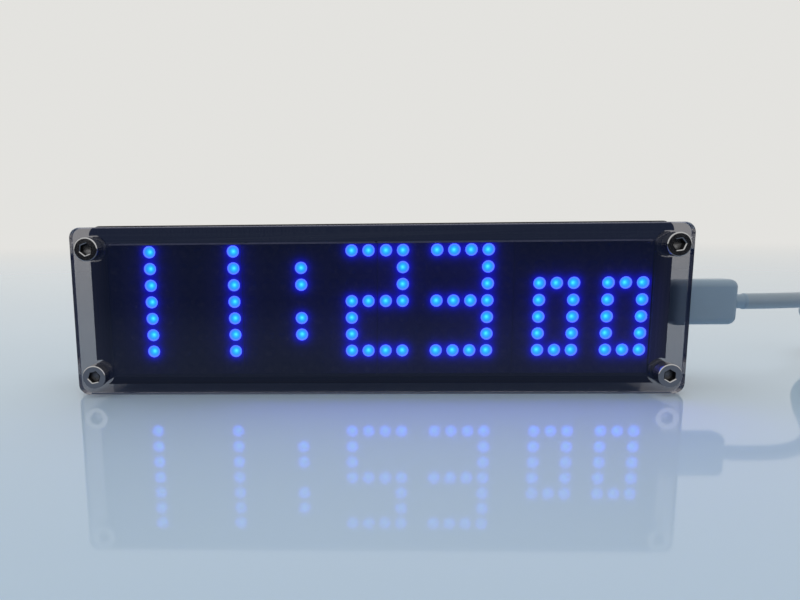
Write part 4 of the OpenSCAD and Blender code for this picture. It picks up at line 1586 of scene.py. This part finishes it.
@dataclass
class Display:
    """Four dot modules side by side: cups of light in black faces on inked trays."""

    face: tuple[str, ...] = (
        "..#....#......####.####.........",
        "..#....#...#.....#....#.........",
        "..#....#...#.....#....#..###.###",
        "..#....#......####.####..#.#.#.#",
        "..#....#...#..#.......#..#.#.#.#",
        "..#....#...#..#.......#..#.#.#.#",
        "..#....#......####.####..###.###",
        "................................",
    )
    modules: int = 4
    side_dots: int = 8
    pitch: float = 4.0
    module_w: float = 31.9
    module_step: float = 32.1
    middle_z: float = 20.05
    face_y: float = -9.1
    back_y: float = -1.1
    dot_r: float = 1.49
    cup_depth: float = 0.8
    cup_rings: tuple[float, ...] = (0.0, 0.22, 0.5, 0.8, 1.0)
    cup_sides: int = 20
    face_rings: tuple[float, ...] = (0.0, 0.1, 0.26, 0.55, 1.0)
    face_turn: float = 15.0
    edge: float = 0.3
    edge_share: float = 0.3
    lip: float = 0.25
    film: float = 0.03
    face_in: Span = (0.01, 0.03)
    corner_r: float = 0.5
    corner_steps: int = 4
    floor_t: float = 0.5
    back_edge: float = 0.15
    halo_reach: float = 0.55
    glow_reach: float = 2.6
    glow_share: float = 0.33
    glow_most: float = 1.5

    def lit(self) -> np.ndarray:
        """Returns which dots are lit, rows by columns."""
        return np.array([[mark == "#" for mark in row] for row in self.face])

    def middle_x(self, number: np.ndarray | int) -> np.ndarray | float:
        """Returns the middle of a module, or of many, by its place in the row from 0."""
        return (number - (self.modules - 1) / 2.0) * self.module_step

    def centres(self) -> np.ndarray:
        """Finds the middle of every dot.

        Returns:
            The places (x, z), rows by columns by two.
        """
        column = np.arange(self.modules * self.side_dots)
        block, within = np.divmod(column, self.side_dots)
        half = (self.side_dots - 1) / 2.0
        x = self.middle_x(block) + (within - half) * self.pitch
        z = self.middle_z + (half - np.arange(self.side_dots)) * self.pitch
        return np.stack(np.meshgrid(x, z), -1)

    def spill(self, x: np.ndarray, z: np.ndarray) -> dict[str, np.ndarray]:
        """Adds up the light of the lit dots, which falls off as a power of e with the distance.

        Args:
            x: The places on the face, across.
            z: The places on the face, up.

        Returns:
            The values halo, close round the dots, and glow, wide round them.
        """
        lights = self.centres()[self.lit()]
        off = np.hypot(x[..., None] - lights[:, 0], z[..., None] - lights[:, 1]) - self.dot_r
        off = np.maximum(off, 0.0)
        return {
            "halo": np.minimum(1.0, np.exp(-off / self.halo_reach).sum(-1)),
            "glow": np.minimum(
                self.glow_most, np.exp(-off / self.glow_reach).sum(-1) * self.glow_share
            ),
        }

    def cups(self, wanted: np.ndarray) -> Surface:
        """Shallow cups: depth falls off from the middle with the square of the distance.

        Args:
            wanted: Which dots to make, rows by columns.

        Returns:
            The cups, with the value ring from 0 in the middle to 1 at the rim, and the spilt light.
        """
        centre = self.centres()[wanted]
        ring = np.array(self.cup_rings)[:, None]
        angle = full_turn(self.cup_sides)
        x = ring * np.cos(angle) * self.dot_r
        z = ring * np.sin(angle) * self.dot_r
        y = self.face_y - self.film + self.cup_depth * (1.0 - ring**2) + 0.0 * angle
        cup = np.stack([x, y, z], -1)
        pattern = Surface.of_grid(cup, ring=ring + 0.0 * angle)
        count = len(pattern.points)
        shift = np.stack([centre[:, 0], 0.0 * centre[:, 0], centre[:, 1]], -1)
        points = (pattern.points[None] + shift[:, None]).reshape(-1, 3)
        quads = (pattern.quads[None] + count * np.arange(len(centre))[:, None, None]).reshape(-1, 4)
        ring_value = {"ring": np.tile(pattern.values["ring"], len(centre))}
        return Surface(points, quads, None, ring_value | self.spill(points[:, 0], points[:, 2]))

    def printed_face(self) -> Surface:
        """The black faces: round each dot rings that grow from its rim to the square of its cell.

        Returns:
            The faces, with the light spilt on them.
        """
        angle = np.radians(np.arange(0.0, 360.0, self.face_turn))
        reach = self.pitch / 2.0 / np.maximum(abs(np.cos(angle)), abs(np.sin(angle)))
        share = np.array(self.face_rings)[:, None]
        r = self.dot_r + share * (reach - self.dot_r)
        cell = np.stack([r * np.cos(angle), r * np.sin(angle)], -1)
        centre = self.centres().reshape(-1, 2)
        flat = centre[:, None, None] + cell[None]
        block = np.round(centre[:, 0] / self.module_step + (self.modules - 1) / 2.0)
        middle = self.middle_x(block)[:, None, None]
        half_w = self.module_step / 2.0 - self.face_in[0]
        half_h = self.module_w / 2.0 - self.edge - self.face_in[1]
        x = middle + np.clip(flat[..., 0] - middle, -half_w, half_w)
        z = self.middle_z + np.clip(flat[..., 1] - self.middle_z, -half_h, half_h)
        light = self.spill(x, z)
        grid = np.stack([x, np.full_like(x, self.face_y - self.film), z], -1)
        return Surface.joined(
            [
                Surface.of_grid(one, halo=halo, glow=glow)
                for one, halo, glow in zip(grid, light["halo"], light["glow"])
            ]
        )

    def tray(self, number: int) -> Surface:
        """A module's tray: its outline, drawn in step by step along a profile from back to floor.

        Args:
            number: The module's place in the row, from 0.

        Returns:
            The closed tray with its eased front edge.
        """
        half = self.module_w / 2.0
        lip = self.edge + self.lip
        eased = self.edge * self.edge_share
        floor = self.face_y + self.cup_depth + self.floor_t
        profile = (
            (half, self.back_y),
            (self.back_edge, self.back_y),
            (0.0, self.back_y - self.back_edge),
            (0.0, self.face_y + self.edge),
            (eased, self.face_y + eased),
            (self.edge, self.face_y),
            (lip, self.face_y),
            (lip, floor),
            (half, floor),
        )
        rings = []
        for inset, y in profile:
            side, radius = half - inset, max(0.0, self.corner_r - inset)
            loop = rect_loop(side, side, radius, self.corner_steps)
            rings.append(np.stack([loop[:, 0], np.full(len(loop), y), loop[:, 1]], -1))
        return Surface.of_grid(np.array(rings) + [self.middle_x(number), 0.0, self.middle_z])

    def build(self, shop: Workshop) -> None:
        """Makes the trays, the faces and the dots.

        Args:
            shop: Where pieces are made.
        """
        plastic = TrayPlastic("module_tray")
        for number in range(self.modules):
            shop.piece(
                f"module_tray_{number + 1}",
                self.tray(number),
                plastic,
                "module_black",
                stands_for=[f"led_matrix_{number + 1}"],
            )
        lit = self.lit()
        for name, surface, finish, slot, nodes in (
            ("module_faces", self.printed_face(), PrintedFace("module_face"), "module_black", []),
            ("lit_cups", self.cups(lit), LitDot("lit_dot"), "dot_lit", ["lit_dots"]),
            ("dark_cups", self.cups(~lit), DarkDot("dark_dot"), "dot_unlit", ["unlit_dots"]),
        ):
            shop.piece(name, surface, finish, slot, stands_for=nodes, closed=False)


@dataclass
class CapScrews:
    """Cap screws with knurled heads, hexagon sockets and threads, front and rear."""

    axes: tuple[Span, ...] = ((-67.0, 5.0), (-67.0, 35.0), (67.0, 5.0), (67.0, 35.0))
    turned: tuple[tuple[float, ...], ...] = ((12.0, 21.0, 30.0, 8.0), (4.0, 17.0, 26.0, 40.0))
    panel_y: float = 13.0
    head_r: float = 2.75
    head_h: float = 3.0
    flat: float = 2.5
    socket_depth: float = 1.6
    socket_steps: tuple[float, ...] = (0.0, 0.16, 0.3)
    socket_point: float = 0.2
    mouth: float = 0.2
    ease: float = 0.26
    ease_steps: int = 5
    point_shade: float = 0.4
    flat_in: float = 0.03
    seat: float = 0.2
    knurls: int = 32
    knurl_steps: int = 4
    knurl_depth: float = 0.09
    knurl_in: Span = (0.4, 0.8)
    shank_r: float = 1.5
    shank_l: float = 8.0
    shank_sides: int = 24
    thread: float = 0.5
    thread_steps: int = 6
    thread_depth: float = 0.24
    thread_play: float = 0.02

    def head(self, turn: float) -> tuple[np.ndarray, np.ndarray]:
        """The head: rings of radius and height, round outside and six-sided in the socket.

        Args:
            turn: How far the screw is turned, in degrees.

        Returns:
            The grid of points (across, up, out), out from the panel, and how much painted shade
            each one gets in the socket.
        """
        angle = full_turn(self.knurl_steps * self.knurls)
        six = (angle - math.radians(turn)) % (np.pi / 3.0) - np.pi / 6.0
        hexagon = self.flat / 2.0 / np.cos(six)
        ridge = self.knurl_depth * 0.5 * (1.0 + np.cos(self.knurls * angle))
        quarter = np.linspace(0.0, 0.5 * np.pi, self.ease_steps + 1)
        bend = zip(np.cos(quarter), np.sin(quarter))
        side, top, ease = self.head_r, self.head_h, self.ease
        rings = np.array(
            [
                (self.shank_r, 0.0, 0.0),
                (side - self.seat, 0.0, 0.0),
                (side - self.flat_in, self.seat, 0.0),
                (side, self.knurl_in[0], 1.0),
                (side, top - self.knurl_in[1], 1.0),
                *((side - ease + ease * c, top - ease + ease * s, 0.0) for c, s in bend),
                (side - ease - self.flat_in, top, 0.0),
            ]
        )
        radius, height, knurled = np.hsplit(rings, 3)
        wider = np.array([self.mouth, 0.0, 0.0, 0.0])[:, None]
        inside = np.concatenate([hexagon + wider, 0.0 * hexagon[None]])
        floor = self.socket_depth
        depth = np.array([*self.socket_steps, floor, floor + self.socket_point])[:, None]
        r = np.concatenate([radius - knurled * ridge, inside])
        h = np.concatenate([height, top - depth]) + 0.0 * angle
        # Painted shade in the socket: 1 from a little way in down to its floor, less at its point,
        # 0 elsewhere.
        deep = np.zeros_like(r)
        deep[len(rings) + 2 :] = 1.0
        deep[-1] = self.point_shade
        return np.stack([r * np.cos(angle), r * np.sin(angle), h], -1), deep

    def shank(self) -> np.ndarray:
        """The shank: its radius is a triangle wave that climbs one thread in each turn.

        Returns:
            The grid of points (across, up, out), out from the panel, closed at both ends.
        """
        angle = full_turn(self.shank_sides)
        steps = int(self.shank_l / self.thread * self.thread_steps)
        down = np.linspace(0.0, self.shank_l, steps + 1)[:, None]
        phase = (down / self.thread - angle / (2.0 * np.pi)) % 1.0
        r = self.shank_r - self.thread_play - self.thread_depth * abs(2.0 * phase - 1.0)
        grid = np.stack([r * np.cos(angle), r * np.sin(angle), -down + 0.0 * angle], -1)
        ends = np.zeros((2, len(angle), 3))
        ends[1, :, 2] = -self.shank_l
        return np.concatenate([ends[:1], grid, ends[1:]])

    def screws(self, side: float, turns: Sequence[float]) -> Surface:
        """Sets a screw on each axis.

        Args:
            side: -1 for the front panel and 1 for the rear one.
            turns: How far each screw is turned, in degrees.

        Returns:
            The four screws.
        """
        parts = []
        for (x, z), turn in zip(self.axes, turns):
            shank = self.shank()
            for grid, deep in (self.head(turn), (shank, np.zeros(shank.shape[:2]))):
                placed = np.stack(
                    [x + grid[..., 0], side * (self.panel_y + grid[..., 2]), z + grid[..., 1]], -1
                )
                parts.append(Surface.of_grid(placed, deep=deep))
        return Surface.joined(parts)

    def build(self, shop: Workshop) -> None:
        """Makes the front and rear screws.

        Args:
            shop: Where pieces are made.
        """
        steel = SocketSteel("screw_steel", roughness=0.035, mark_scale=2600.0, mark_depth=1e-6)
        for end, side, turns in zip(("front", "rear"), (-1.0, 1.0), self.turned):
            shop.piece(
                f"{end}_cap_screws",
                self.screws(side, turns),
                steel,
                "screw_steel",
                stands_for=[f"{end}_screws"],
                sharp=32.0,
            )


@dataclass
class Enclosure:
    """The two smoked panels, the standoffs and the black housing."""

    panel_edge: float = 0.25
    housing_edge: float = 0.1
    standoff_edge: float = 0.15
    painted_display_glow: Colour = (0.0025, 0.004, 0.011)
    sawn_light: Colour = (0.067, 0.067, 0.085)
    rear_tint: Colour = (0.36, 0.355, 0.37)
    rear_lamp_tint: Colour = (0.85, 0.85, 0.86)

    def build(self, shop: Workshop) -> None:
        """Dresses the enclosure with eased edges.

        Args:
            shop: Where pieces are made.
        """
        lit = SmokedSheet("lit_sheet", haze=self.painted_display_glow, sawn_light=self.sawn_light)
        shop.softened("front_panel_sheet", "front_panel", lit, "smoked_acrylic", self.panel_edge)
        plain = SmokedSheet("smoked_sheet", self.rear_tint, self.rear_lamp_tint)
        shop.softened("rear_panel_sheet", "rear_panel", plain, "smoked_acrylic", self.panel_edge)
        black = LitFrame("housing_black", (0.014, 0.014, 0.015), 0.40, 2400.0, 1.2e-5)
        shop.softened("housing_shell", "housing", black, "black_plastic", self.housing_edge)
        nickel = BareMetal("standoff_nickel", (0.63, 0.61, 0.58), 0.22, (1.0, 14.0, 1.0), 700.0)
        shop.softened("hex_standoffs", "standoffs", nickel, "standoff_nickel", self.standoff_edge)


@dataclass
class Circuit:
    """The board behind the modules with its chips, cans, cell, buzzer, socket and buttons."""

    drivers: Span = (18.55, 50.65)
    middle_z: float = 20.05
    rear_y: float = 0.5
    pin_rows: Span = (8.05, 32.05)
    pin_pitch: float = 2.54
    pin_gap: float = 0.9
    lead_x: float = 5.2
    lead_z: float = 6.985
    lead_pitch: float = 1.27
    fan_tracks: int = 3
    fan_x: float = 2.5
    first_pin: float = 1.5
    fan_bend: float = 0.8
    bend_share: float = 0.4
    track_w: float = 0.35
    rail_w: float = 0.5
    rail_x: float = 58.0
    rail_corners: int = 4
    rail_z: tuple[float, ...] = (5.0, 5.9, 34.9, 35.7)
    lift: float = 0.03
    controller_x: float = -34.6
    driver_half: Span = (3.78, 7.75)
    controller_half: Span = (3.55, 3.55)
    timer_half: Span = (2.5, 2.0)
    regulator_half: Span = (1.8, 3.3)
    mark_in: float = 1.4

    def ribbons(self, lines: np.ndarray, width: float) -> Surface:
        """Flat tracks: each corner of a line moved square to it by half the width, both ways.

        Args:
            lines: Points (x, z), lines by corners by two.
            width: The tracks' width.

        Returns:
            The tracks.
        """
        ahead = unit(np.gradient(lines, axis=1))
        side = np.stack([-ahead[..., 1], ahead[..., 0]], -1) * width / 2.0
        edge = np.stack([lines - side, lines + side], -2)
        y = np.full(edge.shape[:-1], self.rear_y + self.lift)
        grid = np.stack([edge[..., 0], y, edge[..., 1]], -1)
        return Surface.joined([Surface.of_grid(one, close_columns=False) for one in grid])

    def tracks(self) -> Surface:
        """Copper under the resist: fans from each driver's leads to the pins, and long rails.

        Returns:
            The tracks, on the board's rear face.
        """
        fans = []
        for driver in (-self.drivers[1], -self.drivers[0], self.drivers[0], self.drivers[1]):
            out = math.copysign(1.0, driver)
            for row, way in zip(self.pin_rows, (-1.0, 1.0)):
                for step in range(self.fan_tracks):
                    lead_x = driver - out * self.lead_x
                    lead_z = self.middle_z + way * (self.lead_z - self.lead_pitch * step)
                    pin_x = driver - out * (self.fan_x + (self.first_pin + step) * self.pin_pitch)
                    bend = min(self.fan_bend, self.bend_share * abs(pin_x - lead_x))
                    fans.append(
                        (
                            (lead_x, lead_z),
                            (pin_x + out * bend, lead_z),
                            (pin_x, lead_z + way * bend),
                            (pin_x, row - way * self.pin_gap),
                        )
                    )
        z = np.array(self.rail_z)[:, None]
        x = np.linspace(-self.rail_x, self.rail_x, self.rail_corners)[None, :]
        rails = np.stack(np.broadcast_arrays(x, z), -1)
        return Surface.joined(
            [self.ribbons(np.array(fans), self.track_w), self.ribbons(rails, self.rail_w)]
        )

    def build(self, shop: Workshop) -> None:
        """Dresses the parts on the board and lays its tracks.

        Args:
            shop: Where pieces are made.
        """
        copper = BoardMask("track_mask", (0.030, 0.15, 0.075))
        shop.piece("board_tracks", self.tracks(), copper, "board_mask", closed=False)
        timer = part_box("clock_chip")
        timer_z = (timer[0][2] + timer[1][2]) / 2.0 / MM
        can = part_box("regulator")
        can_x = (can[0][0] + can[1][0]) / 2.0 / MM
        drivers = tuple((x, self.middle_z) for x in self.drivers)
        controller = ((self.controller_x, self.middle_z),)
        regulator = ((can_x, self.middle_z),)
        even, drawn = (1.0, 1.0, 1.0), (1.0, 1.0, 9.0)
        for finish, *nodes in (
            (BoardMask("board_mask"), "circuit_board"),
            (
                ChipPackage("driver_package", drivers, self.driver_half, mirrored=True),
                "driver_chips",
            ),
            (
                ChipPackage("controller_package", controller, self.controller_half),
                "microcontroller",
            ),
            (ChipPackage("timer_package", ((0.0, timer_z),), self.timer_half), "clock_chip"),
            (ChipPackage("regulator_package", regulator, self.regulator_half), "regulator"),
            (CapacitorCan("capacitor_can", mark_x=can_x + self.mark_in), "capacitors"),
            (BareMetal("solder_tin", (0.70, 0.69, 0.67), 0.3, even, 3500.0, 6e-6), "matrix_pins"),
            (
                BareMetal("bright_steel", (0.68, 0.68, 0.69), 0.2, drawn, 900.0),
                "crystal",
                "coin_cell",
                "usb_receptacle",
            ),
            (
                MouldedPlastic("inner_black", (0.018, 0.018, 0.019), 0.5, 2600.0, 9e-6),
                "cell_holder",
                "buzzer",
            ),
            (
                MouldedPlastic("chip_ceramic", (0.03, 0.028, 0.027), 0.35, 5000.0, 6e-6),
                "chip_resistors",
            ),
            (SwitchCase("switch_case"), "switch_bases"),
            (ContactTongue("contact_tongue"), "receptacle_tongue"),
            (
                MouldedPlastic("button_black", (0.022, 0.022, 0.023), 0.38, 3400.0, 1e-5),
                "button_set",
                "button_up",
                "button_down",
            ),
        ):
            shop.dress(finish, *nodes)


def main() -> None:
    """Builds the camera, the cable, the clock's pieces and the studio, in that order."""
    logging.basicConfig(level=logging.INFO, format="%(name)s: %(message)s")
    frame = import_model()
    bpy.context.scene.view_settings.view_transform = "Standard"
    shop = Workshop(frame)
    Viewpoint().build()
    for part in (PowerCable(), Enclosure(), Display(), CapScrews(), Circuit()):
        part.build(shop)
    Studio().build()


if __name__ == "__main__":
    main()
